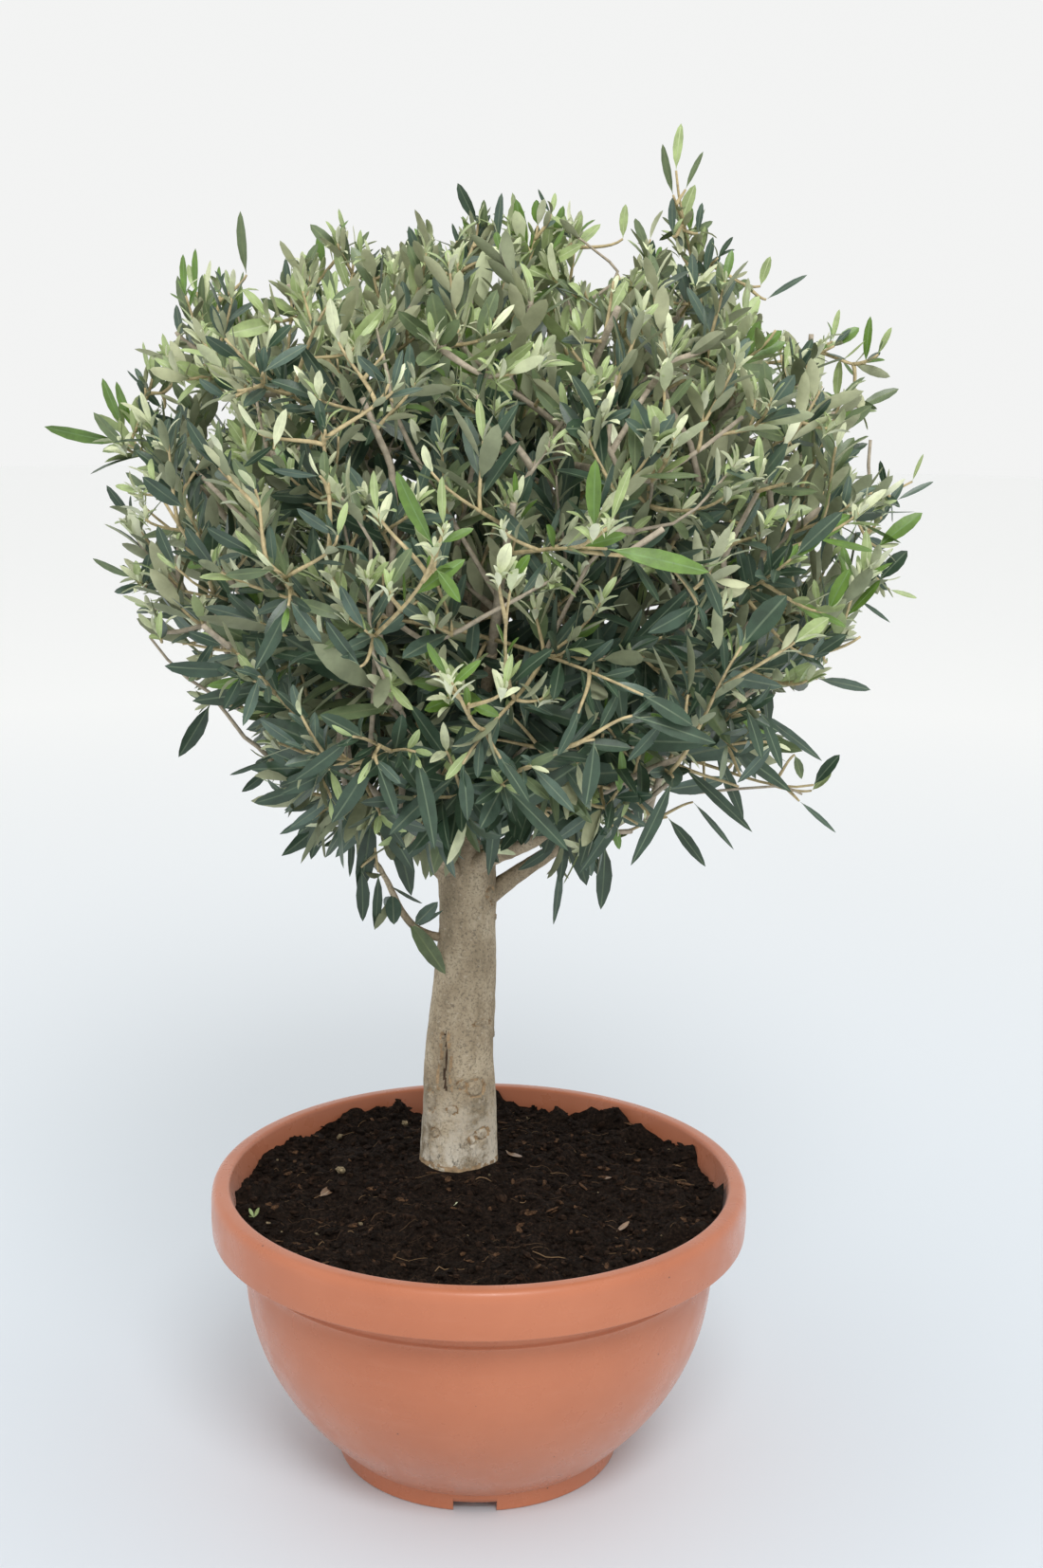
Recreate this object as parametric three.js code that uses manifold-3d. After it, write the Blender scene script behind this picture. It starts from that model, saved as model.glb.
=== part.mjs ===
// A potted olive tree: a round-headed young olive on a clear trunk, planted in a bowl-shaped plastic pot.
// Millimetres, +Z up. The origin is on the floor, at the centre of the pot's foot ring; +X is the plant's
// right hand seen from the front, and the front faces -Y.
import * as THREE from 'three';
import { mergeVertices } from 'three/addons/utils/BufferGeometryUtils.js';
import Module from 'manifold-3d';

const wasm = await Module();
wasm.setup();

// ---------------------------------------------------------------- driving dimensions (mm, degrees)

const gap = 0.3; // clearance between neighbouring solids
const sliver = 0.02; // faces narrower than this are merged away

const pot = {
  height: 200, bandRadius: 184.5, bandFoot: 167, lipRadius: 172, lipRound: 5,
  coveTop: 165.5, coveRadius: 161.3, coveDrop: 16, bowlRadius: 162.3, bowlCurve: 2.4, wall: 3.2,
  footRadius: 98, footHeight: 11.5, footWidth: 14, floorRise: 5, sides: 28,
  notches: 3, notchWidth: 29, notchHeight: 7, drains: 4, drainRadius: 6, drainCircle: 52
};

const soil = {
  edge: 184, crown: 197, moundRadius: 150, flatRadius: 38, lump: 3, lumpSpan: [17, 21, 9], rings: 4
};

const trunk = {
  foot: [-16, 30], bow: 6, forkHeight: 446, footRadius: 26.5, waistRadius: 19.6, waistShare: 0.66,
  taperCurve: 1.35, forkRadius: 20.5, flare: 1.2, flareShare: 0.1, lobes: 4, unevenness: 0.5, domeShare: 0.9,
  sides: 12, rings: 12
};

const crown = {
  centre: [15, 5, 640], half: [266, 262, 212], squareness: 2.4, lumps: 9, lumpGain: 0.06, lumpWidth: 0.02,
  outermost: [284, 278, 868]
};

// Bulges and dents of the crown's outline, by their direction in the upright plane through the front.
const bulges = [
  { turn: 14, gain: -0.1 }, { turn: 30, gain: 0.05 }, { turn: 46, gain: -0.11 },
  { turn: 61, gain: 0.08 }, { turn: 88, gain: 0.03 }, { turn: 105, gain: -0.06 },
  { turn: 138, gain: 0.12 }, { turn: 165, gain: 0.05 }, { turn: 196, gain: -0.05 },
  { turn: 224, gain: -0.11 }, { turn: 243, gain: 0.08 }, { turn: 286, gain: 0.1 },
  { turn: 315, gain: -0.03 }, { turn: 333, gain: -0.1 }, { turn: 348, gain: -0.08 }
];

// The tiers of foliage, each a ring of masses. A mass hangs on a bough that ends a share (entry) of the way
// to the mass's site, once it is in the mass's own space.
const tiers = [
  { name: 'low', count: 5, height: 520, reach: 168, turn: 14, droop: 0.55, entry: 0.5 },
  { name: 'middle', count: 5, height: 640, reach: 182, turn: 50, droop: 0.15, entry: 0.58 },
  { name: 'high', count: 4, height: 752, reach: 128, turn: 20, droop: -0.1, entry: 0.5 },
  { name: 'top', count: 1, height: 775, reach: 6, turn: 0, droop: -0.1, entry: 0.62 }
];
const scatter = { turn: 10, reach: 0.08, height: 24 }; // how far a mass strays from its tier's even ring

const bough = {
  rootRadius: 7.6, tipRadius: 3.4, sides: 6, rings: 5, bend: 0.3, sag: 0.06, clearance: 2.5, margin: 9
};

const stem = { radius: 3.4, tipRadius: 1.9, steps: 3, past: 45, bareShare: 0.12 };
const twig = {
  rootRadius: 1.3, radius: 2.3, tipRadius: 1.6, steps: 2, sag: 0.042, sink: 0.5, bareShare: 0.1,
  mostFaces: 60
};
const leaf = {
  length: 98, width: 35, thickness: 1.5, widest: 0.42, sink: 1, spacing: 11, spread: 52, tipSpread: 8,
  spreadRange: 14, droop: 0.45, twist: 0.5, mostFaces: 30
};
const growth = {
  seed: 20, twigs: 4, attempts: 40, tries: 14, span: 150, targetMargin: 6, outermost: 0.86, cellMargin: 0.8,
  sizes: [1, 0.85, 0.72, 0.6], shootLeaf: 0.8
};

// Single shoots that stand out of the crown's outline: the tip of each.
const shoots = [
  { tip: [121, 4, 900] }, { tip: [-287, -8, 702] }, { tip: [292, 6, 736] },
  { tip: [36, -285, 672] }, { tip: [-24, 290, 660] }
];

// The one slim sprig low on the trunk.
const sprig = {
  height: 350, reach: 44, forward: 14, rise: 58, rootRadius: 2.6, tipRadius: 1.6, bend: 0.35, climb: 0.45,
  leaves: 3, leafLength: 40
};

// ---------------------------------------------------------------- materials

const terracotta = new THREE.MeshStandardMaterial({ color: 0xc87a5c, roughness: 0.62, metalness: 0 });
const peat = new THREE.MeshStandardMaterial({ color: 0x2a1f1a, roughness: 0.97, metalness: 0 });
const bark = new THREE.MeshStandardMaterial({ color: 0x8f8676, roughness: 0.88, metalness: 0 });
const foliage = new THREE.MeshStandardMaterial({ color: 0x6f8460, roughness: 0.7, metalness: 0 });

// ---------------------------------------------------------------- small helpers

const radians = THREE.MathUtils.degToRad;
const lerp = THREE.MathUtils.lerp;
const vector = (x, y, z) => new THREE.Vector3(x, y, z);
const up = vector(0, 0, 1);

// A seeded stream of numbers from 0 to 1, the same on every run.
function seeded(seed) {
  let state = seed >>> 0;
  return function next() {
    state = (state + 0x6d2b79f5) >>> 0;
    let word = state;
    word = Math.imul(word ^ (word >>> 15), word | 1);
    word ^= word + Math.imul(word ^ (word >>> 7), word | 61);
    return ((word ^ (word >>> 14)) >>> 0) / 4294967296;
  };
}

function toSolid(geometry) {
  const bare = geometry.clone();
  bare.deleteAttribute('normal');
  bare.deleteAttribute('uv');
  const merged = mergeVertices(bare, 1e-4);
  return new wasm.Manifold(new wasm.Mesh({
    numProp: 3,
    vertProperties: new Float32Array(merged.attributes.position.array),
    triVerts: new Uint32Array(merged.index.array)
  }));
}

function toGeometry(solid) {
  const mesh = solid.getMesh();
  const geometry = new THREE.BufferGeometry();
  geometry.setAttribute('position', new THREE.BufferAttribute(new Float32Array(mesh.vertProperties), 3));
  geometry.setIndex(new THREE.BufferAttribute(new Uint32Array(mesh.triVerts), 1));
  geometry.computeVertexNormals();
  return geometry;
}

// The largest connected body of a solid, without the scraps and slivers that a cut or a join leaves.
function largestBody(solid) {
  const bodies = solid.simplify(sliver).decompose();
  bodies.sort((a, b) => b.volume() - a.volume());
  return bodies[0];
}

// A closed geometry from rings of points, each ring with the same number of points, capped at both ends.
function ringsGeometry(rings) {
  const sides = rings[0].length;
  const positions = rings.flat().flatMap((point) => point.toArray());
  const index = [];
  for (let r = 0; r < rings.length - 1; r += 1) {
    for (let s = 0; s < sides; s += 1) {
      const a = r * sides + s;
      const b = r * sides + ((s + 1) % sides);
      index.push(a, b, b + sides, a, b + sides, a + sides);
    }
  }
  const last = (rings.length - 1) * sides;
  for (let s = 1; s < sides - 1; s += 1) {
    index.push(0, s + 1, s, last, last + s, last + s + 1);
  }
  const geometry = new THREE.BufferGeometry();
  geometry.setAttribute('position', new THREE.Float32BufferAttribute(positions, 3));
  geometry.setIndex(index);
  return geometry;
}

// The rings of a tapered limb along a curve; radiusAt gives the radius at a share of its length.
function limbRings(curve, radiusAt, sides, rings, grow) {
  const ringList = [];
  let side = null;
  for (let r = 0; r <= rings; r += 1) {
    const share = r / rings;
    const centre = curve.getPoint(share);
    const along = curve.getTangent(share);
    if (!side) side = Math.abs(along.z) > 0.9 ? vector(1, 0, 0) : vector(0, 0, 1);
    side = side.clone().addScaledVector(along, -side.dot(along)).normalize();
    const other = along.clone().cross(side);
    const ring = [];
    for (let s = 0; s < sides; s += 1) {
      const angle = (2 * Math.PI * s) / sides;
      const radius = radiusAt(share, angle) + grow;
      const point = centre.clone();
      point.addScaledVector(side, radius * Math.cos(angle)).addScaledVector(other, radius * Math.sin(angle));
      ring.push(point);
    }
    ringList.push(ring);
  }
  return ringList;
}

function limbGeometry(curve, radiusAt, sides, rings, grow = 0) {
  return ringsGeometry(limbRings(curve, radiusAt, sides, rings, grow));
}

const taper = (from, to) => (share) => lerp(from, to, share);

// A twig starts slim, where it is sunk in its parent, and is thickest at its middle ring.
function twigRadius(share) {
  if (share < 0.5) return lerp(twig.rootRadius, twig.radius, 2 * share);
  return lerp(twig.radius, twig.tipRadius, 2 * share - 1);
}

// ---------------------------------------------------------------- pot

const coveFoot = pot.bandFoot - pot.coveDrop;

// The radius of the bowl's outside at a height, between the foot ring and the cove under the band.
function bowlRadiusAt(height) {
  const share = (coveFoot - height) / (coveFoot - pot.footHeight);
  return lerp(pot.bowlRadius, pot.footRadius, share ** pot.bowlCurve);
}

function evenHeights(steps, from, to) {
  return Array.from({ length: steps + 1 }, (_, i) => lerp(from, to, i / steps));
}

// The inside wall, a wall's thickness in from the outside, up to the lip.
function innerRadiusAt(height) {
  if (height < coveFoot) return bowlRadiusAt(height) - pot.wall;
  return lerp(pot.bowlRadius - pot.wall, pot.lipRadius, (height - coveFoot) / (pot.height - coveFoot));
}

const floorHeight = pot.floorRise + pot.wall;
const floorRadius = pot.footRadius - 8;
const innerHeights = evenHeights(4, coveFoot, floorHeight + 12);

// The pot's section, from the axis under the floor, out and up the outside, over the lip and down inside.
function potProfile() {
  const recess = pot.footRadius - pot.footWidth;
  const points = [[0, pot.floorRise], [recess, pot.floorRise], [recess + 1, 0], [pot.footRadius, 0]];
  points.push([pot.footRadius, pot.footHeight - 1]);
  evenHeights(6, pot.footHeight, coveFoot).forEach((z) => points.push([bowlRadiusAt(z), z]));
  points.push([pot.coveRadius, coveFoot + 1.5], [pot.coveTop, pot.bandFoot], [pot.bandRadius, pot.bandFoot]);
  points.push([pot.bandRadius - 1, pot.height - 2 * pot.lipRound]);
  points.push([pot.bandRadius - 1.2 * pot.lipRound, pot.height], [pot.lipRadius, pot.height]);
  innerHeights.forEach((z) => points.push([innerRadiusAt(z), z]));
  points.push([floorRadius, floorHeight], [0, floorHeight]);
  return points.map(([radius, height]) => new THREE.Vector2(radius, height));
}

function lathe(profile, sides) {
  const geometry = new THREE.LatheGeometry(profile, sides);
  geometry.rotateX(Math.PI / 2);
  return geometry;
}

// The lathed bowl, with water notches cut through its foot ring and drain holes through its floor.
function makePot() {
  let solid = toSolid(lathe(potProfile(), pot.sides));
  for (let i = 0; i < pot.notches; i += 1) {
    const notch = new THREE.BoxGeometry(3 * pot.footWidth, pot.notchWidth, 2 * pot.notchHeight);
    notch.translate(pot.footRadius, 0, 0);
    notch.rotateZ(radians(-90 + (360 * i) / pot.notches));
    solid = solid.subtract(toSolid(notch));
  }
  for (let i = 0; i < pot.drains; i += 1) {
    const drain = new THREE.CylinderGeometry(pot.drainRadius, pot.drainRadius, 4 * floorHeight, 10);
    drain.rotateX(Math.PI / 2);
    drain.translate(pot.drainCircle, 0, 0);
    drain.rotateZ(radians(45 + (360 * i) / pot.drains));
    solid = solid.subtract(toSolid(drain));
  }
  return toGeometry(largestBody(solid));
}

// ---------------------------------------------------------------- soil

// The soil's surface: flat round the trunk, then a mound that falls to the wall, with soft lumps.
function soilHeight(x, y) {
  const away = Math.hypot(x - trunk.foot[0], y - trunk.foot[1]);
  const share = THREE.MathUtils.clamp((away - soil.flatRadius) / (soil.moundRadius - soil.flatRadius), 0, 1);
  const fall = share * share * (3 - 2 * share);
  const [spanX, spanY, spanBoth] = soil.lumpSpan;
  const lumps = Math.sin(x / spanX + 1) * Math.cos(y / spanY - 0.6) + 0.5 * Math.sin((x + y) / spanBoth);
  return lerp(soil.crown, soil.edge, fall) + soil.lump * lumps * Math.min(1, 3 * share);
}

// A ring of the soil's solid, in step with the sides of the pot.
function soilRing(pointAt) {
  return Array.from({ length: pot.sides }, (_, s) => {
    const angle = (2 * Math.PI * s) / pot.sides;
    return pointAt(vector(Math.cos(angle), Math.sin(angle), 0));
  });
}

// The soil's top runs in rings from the trunk out to the wall; its side follows the pot's inside.
function makeSoil() {
  const rings = [];
  const middle = vector(trunk.foot[0], trunk.foot[1], 0);
  const inset = 2 * gap; // measured level, where the wall leans
  for (let r = 0; r <= soil.rings; r += 1) {
    const share = r / soil.rings;
    rings.push(soilRing((heading) => {
      const near = middle.clone().addScaledVector(heading, soil.flatRadius);
      const far = heading.clone().multiplyScalar(innerRadiusAt(soil.edge) - inset);
      const point = near.lerp(far, share);
      point.z = share === 1 ? soil.edge : soilHeight(point.x, point.y);
      return point;
    }));
  }
  innerHeights.forEach((height) => {
    const radius = innerRadiusAt(height) - inset;
    rings.push(soilRing((heading) => heading.clone().multiplyScalar(radius).setZ(height)));
  });
  rings.push(soilRing((heading) => heading.clone().multiplyScalar(floorRadius - 4).setZ(floorHeight + gap)));
  return ringsGeometry(rings.reverse());
}

// ---------------------------------------------------------------- limbs

const fork = vector(trunk.foot[0] + 0.5 * trunk.bow, trunk.foot[1], trunk.forkHeight);
const trunkFoot = vector(trunk.foot[0], trunk.foot[1], soil.crown + gap);
const trunkCurve = new THREE.CatmullRomCurve3([
  trunkFoot,
  vector(trunk.foot[0] + 0.2 * trunk.bow, trunk.foot[1] + 1, lerp(trunkFoot.z, fork.z, 0.33)),
  vector(trunk.foot[0] + 1.05 * trunk.bow, trunk.foot[1] - 1, lerp(trunkFoot.z, fork.z, 0.7)),
  fork
]);

// The trunk's radius: a root flare in lobes at the foot, a waist, and a slight swelling under the fork.
function trunkRadiusAt(share, angle) {
  const fall = Math.min(1, share / trunk.waistShare);
  const body = lerp(trunk.footRadius, trunk.waistRadius, fall ** trunk.taperCurve);
  const above = Math.max(0, share - trunk.waistShare) / (1 - trunk.waistShare);
  const swell = lerp(0, trunk.forkRadius - trunk.waistRadius, above);
  const lobe = 0.5 + 0.5 * Math.cos(trunk.lobes * angle);
  const flare = trunk.flare * Math.exp(-share / trunk.flareShare) * lobe;
  const over = Math.max(0, share - trunk.domeShare) / (1 - trunk.domeShare);
  const dome = Math.sqrt(1 - 0.7 * over ** 2);
  return (body + swell + flare + trunk.unevenness * Math.cos(3 * angle + 5 * share)) * dome;
}

// The trunk stands on the soil with a flat, level cut.
function makeTrunk(grow) {
  const rings = limbRings(trunkCurve, trunkRadiusAt, trunk.sides, trunk.rings, grow);
  rings[0].forEach((point) => point.setZ(trunkFoot.z));
  return ringsGeometry(rings);
}

// Where each mass sits, worked out ring by ring.
function placeMasses() {
  const random = seeded(growth.seed);
  const placed = [];
  tiers.forEach((tier) => {
    for (let i = 0; i < tier.count; i += 1) {
      const turn = radians(tier.turn + (360 * i) / tier.count + scatter.turn * (random() - 0.5));
      const reach = tier.reach * (1 + scatter.reach * (random() - 0.5));
      const height = tier.height + scatter.height * (random() - 0.5);
      const site = vector(reach * Math.cos(turn), reach * Math.sin(turn), height);
      site.x += crown.centre[0];
      site.y += crown.centre[1];
      const seed = growth.seed + 100 * placed.length + 7;
      placed.push({ name: `${tier.name}_${i + 1}`, tier, turn, site, seed });
    }
  });
  return placed;
}

const masses = placeMasses();

// Where a bough ends: on its way to the mass's site, once it is well inside the mass's space.
function entryPoint(from, mass) {
  let share = mass.tier.entry;
  while (share < 0.95 && !inCell(mass, from.clone().lerp(mass.site, share), bough.margin)) share += 0.02;
  return from.clone().lerp(mass.site, share);
}

// A limb bends: it leaves its parent along a heading, sags a little and turns up towards its tip.
function bentCurve(from, to, heading, bend) {
  const span = from.distanceTo(to);
  const early = from.clone().addScaledVector(heading, bend * span);
  const late = to.clone().lerp(from, 0.3).addScaledVector(up, -bough.sag * span);
  return new THREE.CubicBezierCurve3(from, early, late, to);
}

// The leader runs on from the fork to the top mass, and the high tier's boughs leave it. The middle and low
// tiers' boughs leave the trunk. A tier's boughs start one above the other, from a share of the parent on.
function growLimbs() {
  const grown = [];
  function addTier(name, parentCurve, firstShare, shareStep, climb) {
    masses.filter((mass) => mass.tier.name === name).forEach((mass, i) => {
      const from = parentCurve.getPoint(firstShare + shareStep * i);
      const out = vector(Math.cos(mass.turn), Math.sin(mass.turn), climb).normalize();
      const curve = bentCurve(from, entryPoint(from, mass), climb === Infinity ? up : out, bough.bend);
      const radiusAt = taper(bough.rootRadius, bough.tipRadius);
      grown.push({ mass, name: `bough_${mass.name}`, curve, radiusAt });
    });
  }
  addTier('top', trunkCurve, 0.96, 0, Infinity);
  addTier('middle', trunkCurve, 0.9, 0.015, 1.1);
  addTier('low', trunkCurve, 0.74, 0.03, 1);
  addTier('high', grown[0].curve, 0.3, 0.1, 1.1);
  return grown;
}

const limbs = growLimbs();

// Each limb is cut clear of the trunk and of the limbs before it.
function makeLimbSolids() {
  const earlier = [toSolid(makeTrunk(gap))];
  return limbs.map((limb) => {
    const whole = toSolid(limbGeometry(limb.curve, limb.radiusAt, bough.sides, bough.rings));
    const cut = earlier.reduce((solid, other) => solid.subtract(other), whole);
    earlier.push(toSolid(limbGeometry(limb.curve, limb.radiusAt, bough.sides, bough.rings, gap)));
    return largestBody(cut);
  });
}

// ---------------------------------------------------------------- crown

function directionOf(turn, rise) {
  const flat = Math.cos(radians(rise));
  return vector(flat * Math.cos(radians(turn)), flat * Math.sin(radians(turn)), Math.sin(radians(rise)));
}

// The named bulges of the outline, and seeded ones at the front and the back.
function placeLumps() {
  const random = seeded(growth.seed + 1);
  const placed = bulges.map(({ turn, gain }) => ({
    heading: vector(Math.cos(radians(turn)), 0, Math.sin(radians(turn))), gain
  }));
  for (let i = 0; i < crown.lumps; i += 1) {
    const turn = (i % 2 ? 40 : 220) + 100 * random();
    const heading = directionOf(turn, 120 * random() - 50);
    placed.push({ heading, gain: crown.lumpGain * (2 * random() - 1) });
  }
  return placed;
}

const lumps = placeLumps();

// How far out a point lies: 0 at the crown's centre, 1 on its lumpy outline.
function outness(point) {
  const away = vector(...crown.centre).sub(point).negate();
  const sum = ['x', 'y', 'z'].reduce((total, axis, i) => {
    return total + Math.abs(away[axis] / crown.half[i]) ** crown.squareness;
  }, 0);
  const heading = away.clone().normalize();
  const swell = lumps.reduce((total, lump) => {
    const miss = 1 - heading.dot(lump.heading);
    return total + lump.gain * Math.exp(-miss / crown.lumpWidth);
  }, 1);
  return sum ** (1 / crown.squareness) / swell;
}

// A mass keeps to its own convex cell: the points nearer to its site than to any other.
function inCell(mass, point, margin) {
  return masses.every((other) => {
    if (other === mass) return true;
    const across = other.site.clone().sub(mass.site);
    const middle = mass.site.clone().add(other.site).multiplyScalar(0.5);
    return point.clone().sub(middle).dot(across) / across.length() < -margin;
  });
}

// The centre lines of all limbs as points with a radius, for keeping twigs and leaves off the wood.
const trunkLimb = { curve: trunkCurve, radiusAt: (share) => trunkRadiusAt(share, 0) };
const wood = [trunkLimb, ...limbs].flatMap((limb) => {
  const steps = Math.ceil(limb.curve.getLength() / 6);
  return Array.from({ length: steps + 1 }, (_, i) => ({
    limb, centre: limb.curve.getPoint(i / steps), radius: limb.radiusAt(i / steps)
  }));
});

// Whether points with room round them keep off every limb but the one that carries them.
function clearOfWood(points, reach, spare) {
  return wood.every(({ limb, centre, radius }) => {
    const room = radius + reach + bough.clearance;
    return limb === spare || points.every((point) => point.distanceToSquared(centre) > room * room);
  });
}

// ---------------------------------------------------------------- foliage

// A leaf: a thin pointed blade of eight faces, its root sunk behind the point it grows from.
function leafPoints(root, along, side, size) {
  const length = leaf.length * size;
  const across = side.clone().addScaledVector(along, -side.dot(along)).normalize();
  const face = along.clone().cross(across);
  const start = root.clone().addScaledVector(along, -leaf.sink);
  const belly = start.clone().addScaledVector(along, leaf.widest * (length + leaf.sink));
  const half = (leaf.width * size) / 2;
  return [
    start,
    root.clone().addScaledVector(along, length),
    belly.clone().addScaledVector(across, half),
    belly.clone().addScaledVector(across, -half),
    belly.clone().addScaledVector(face, leaf.thickness / 2),
    belly.clone().addScaledVector(face, -leaf.thickness / 2)
  ];
}

const leafFaces = [0, 4, 2, 0, 3, 4, 0, 5, 3, 0, 2, 5, 1, 2, 4, 1, 4, 3, 1, 3, 5, 1, 5, 2];

function leafSolid(points) {
  const geometry = new THREE.BufferGeometry();
  geometry.setAttribute('position', new THREE.Float32BufferAttribute(points.flatMap((p) => p.toArray()), 3));
  geometry.setIndex(leafFaces);
  return toSolid(geometry);
}

// A random direction.
function anyHeading(random) {
  const rise = 2 * random() - 1;
  const turn = 2 * Math.PI * random();
  const flat = Math.sqrt(1 - rise * rise);
  return vector(flat * Math.cos(turn), flat * Math.sin(turn), rise);
}

// The next place a mass grows a twig to: of several tries in its cell, the one with the most room.
function nextTarget(mass, taken, random) {
  let best = null;
  let bestRoom = -1;
  for (let i = 0; i < growth.tries; i += 1) {
    const heading = anyHeading(random);
    const point = mass.site.clone().addScaledVector(heading, growth.span * Math.cbrt(random()));
    if (outness(point) > growth.outermost || !inCell(mass, point, growth.targetMargin)) continue;
    const room = Math.min(...taken.map((other) => other.distanceTo(point))) * (0.6 + 0.4 * outness(point));
    if (room > bestRoom) {
      best = point;
      bestRoom = room;
    }
  }
  return best;
}

// A twig's curve, from a joint of the growing mass to its target: it starts along its parent, and sags.
function twigCurve(joint, target) {
  const span = joint.point.distanceTo(target);
  const straight = target.clone().sub(joint.point).normalize();
  const heading = joint.heading.clone().multiplyScalar(0.5).add(straight).normalize();
  const middle = joint.point.clone().addScaledVector(heading, 0.5 * span);
  middle.addScaledVector(up, -twig.sag * span);
  const start = joint.point.clone().addScaledVector(heading, -twig.sink);
  return new THREE.QuadraticBezierCurve3(start, middle, target);
}

// Pairs of leaves along a twig, each pair turned a quarter from the last, and one leaf at its tip.
function leavesAlong(mass, curve, random, from) {
  const length = curve.getLength();
  const found = [];
  const pairs = Math.max(1, Math.floor((length * (1 - from)) / leaf.spacing));
  let turn = Math.PI * random();
  for (let i = 0; i <= pairs; i += 1) {
    const share = lerp(from, 1, i / pairs) - (i === pairs ? 0.02 : 0);
    const along = curve.getTangent(share);
    const root = curve.getPoint(share);
    const side = Math.abs(along.z) > 0.95 ? vector(1, 0, 0) : up.clone().cross(along).normalize();
    const other = along.clone().cross(side);
    turn += Math.PI / 2 + 0.5 * (random() - 0.5);
    const atTip = i === pairs;
    for (let k = 0; k < (atTip ? 1 : 2); k += 1) {
      const angle = turn + Math.PI * k;
      const outward = side.clone().multiplyScalar(Math.cos(angle)).addScaledVector(other, Math.sin(angle));
      const spread = radians(atTip ? leaf.tipSpread : leaf.spread + leaf.spreadRange * (random() - 0.5));
      const heading = along.clone().multiplyScalar(Math.cos(spread));
      heading.addScaledVector(outward, Math.sin(spread));
      heading.addScaledVector(up, -leaf.droop * mass.tier.droop * (atTip ? 0.5 : 1)).normalize();
      const flat = heading.clone().cross(outward).addScaledVector(anyHeading(random), leaf.twist);
      found.push({ root, heading, flat, size: 0.9 + 0.2 * random() });
    }
  }
  return found;
}

// Whether two of a solid's corners lie in one place, so that it only just touches itself there.
function pinched(solid) {
  const { numProp, vertProperties } = solid.getMesh();
  const places = new Set();
  for (let i = 0; i < vertProperties.length; i += numProp) {
    const place = Array.from(vertProperties.slice(i, i + 3), (value) => Math.round(value / sliver));
    places.add(place.join());
  }
  return places.size < vertProperties.length / numProp;
}

// Fuses a piece onto a growing solid, unless it crosses so much of it that the join costs too many faces.
function fuse(grown, piece, mostFaces) {
  const joined = grown.solid.add(piece).simplify(sliver);
  if (joined.numTri() - grown.solid.numTri() > mostFaces) return false;
  if (joined.decompose().length > 1 || pinched(joined)) return false;
  grown.solid = joined;
  return true;
}

// Fuses a leaf on at the largest size that stays in its mass's space, off the wood and off other leaves.
function fuseLeaf(mass, { root, heading, flat, size }) {
  return growth.sizes.some((share) => {
    const points = leafPoints(root, heading, flat, size * share);
    const spine = [0.3, 0.5, 0.75, 1].map((part) => points[0].clone().lerp(points[1], part));
    const inside = points.slice(1).every((point) => inCell(mass, point, growth.cellMargin));
    const within = outness(points[1]) < 1.02 && points.every(insideOutermost);
    if (!inside || !within || !clearOfWood(spine, 0.3 * leaf.width, null)) return false;
    return fuse(mass, leafSolid(points), leaf.mostFaces);
  });
}

function insideOutermost(point) {
  const [x, y, z] = crown.outermost;
  return Math.abs(point.x) < x && Math.abs(point.y) < y && point.z < z;
}

// The stem runs on from the bough's tip, through the mass's site and past it.
function stemCurveOf(mass, limb) {
  const tip = limb.curve.getPoint(1);
  const heading = limb.curve.getTangent(1);
  const start = tip.clone().addScaledVector(heading, gap);
  const onward = mass.site.clone().sub(tip).normalize();
  const end = mass.site.clone().addScaledVector(onward, stem.past);
  const middle = start.clone().addScaledVector(heading, 0.4 * start.distanceTo(end));
  return new THREE.QuadraticBezierCurve3(start, middle, end);
}

// Grows one mass: its stem, the shoots that stand out of the crown, then twigs to one target after another.
function growMass(mass, limb) {
  const random = seeded(mass.seed);
  const leafRandom = seeded(mass.seed + 50);
  const main = stemCurveOf(mass, limb);
  const joints = [];
  const branches = [];
  function addBranch(curve, shares, bareShare) {
    const found = shares.map((share) => ({ point: curve.getPoint(share), heading: curve.getTangent(share) }));
    joints.push(...found);
    branches.push({ curve, bareShare });
  }
  mass.solid = toSolid(limbGeometry(main, taper(stem.radius, stem.tipRadius), 3, stem.steps));
  addBranch(main, [0.2, 0.4, 0.6, 0.8], stem.bareShare);
  shoots.map((shoot) => vector(...shoot.tip)).filter((end) => inCell(mass, end, 0)).forEach((end) => {
    const base = shootBase(mass, end);
    const line = new THREE.LineCurve3(nearestJoint(joints, base).point, base);
    fuse(mass, toSolid(limbGeometry(line, twigRadius, 3, twig.steps)), 2 * twig.mostFaces);
    fuse(mass, leafSolid(endLeaf(base, end)), 2 * leaf.mostFaces);
    addBranch(line, [0.6], twig.bareShare);
  });
  const taken = joints.map((joint) => joint.point);
  let wanted = growth.twigs;
  for (let i = 0; wanted > 0 && i < growth.attempts; i += 1) {
    const target = nextTarget(mass, taken, random);
    if (!target) continue;
    const curve = twigCurve(nearestJoint(joints, target), target);
    const spine = curve.getPoints(8);
    const kept = spine.every((point) => inCell(mass, point, growth.cellMargin + twig.radius));
    if (!kept || !clearOfWood(spine.slice(1), twig.radius, limb)) continue;
    if (!fuse(mass, toSolid(limbGeometry(curve, twigRadius, 3, twig.steps)), twig.mostFaces)) continue;
    taken.push(target);
    addBranch(curve, [0.35, 0.6, 0.85], twig.bareShare);
    wanted -= 1;
  }
  branches.forEach(({ curve, bareShare }) => {
    leavesAlong(mass, curve, leafRandom, bareShare).forEach((one) => fuseLeaf(mass, one));
  });
  return largestBody(mass.solid);
}

function nearestJoint(joints, target) {
  return joints.reduce((best, joint) => {
    return joint.point.distanceTo(target) < best.point.distanceTo(target) ? joint : best;
  });
}

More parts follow.
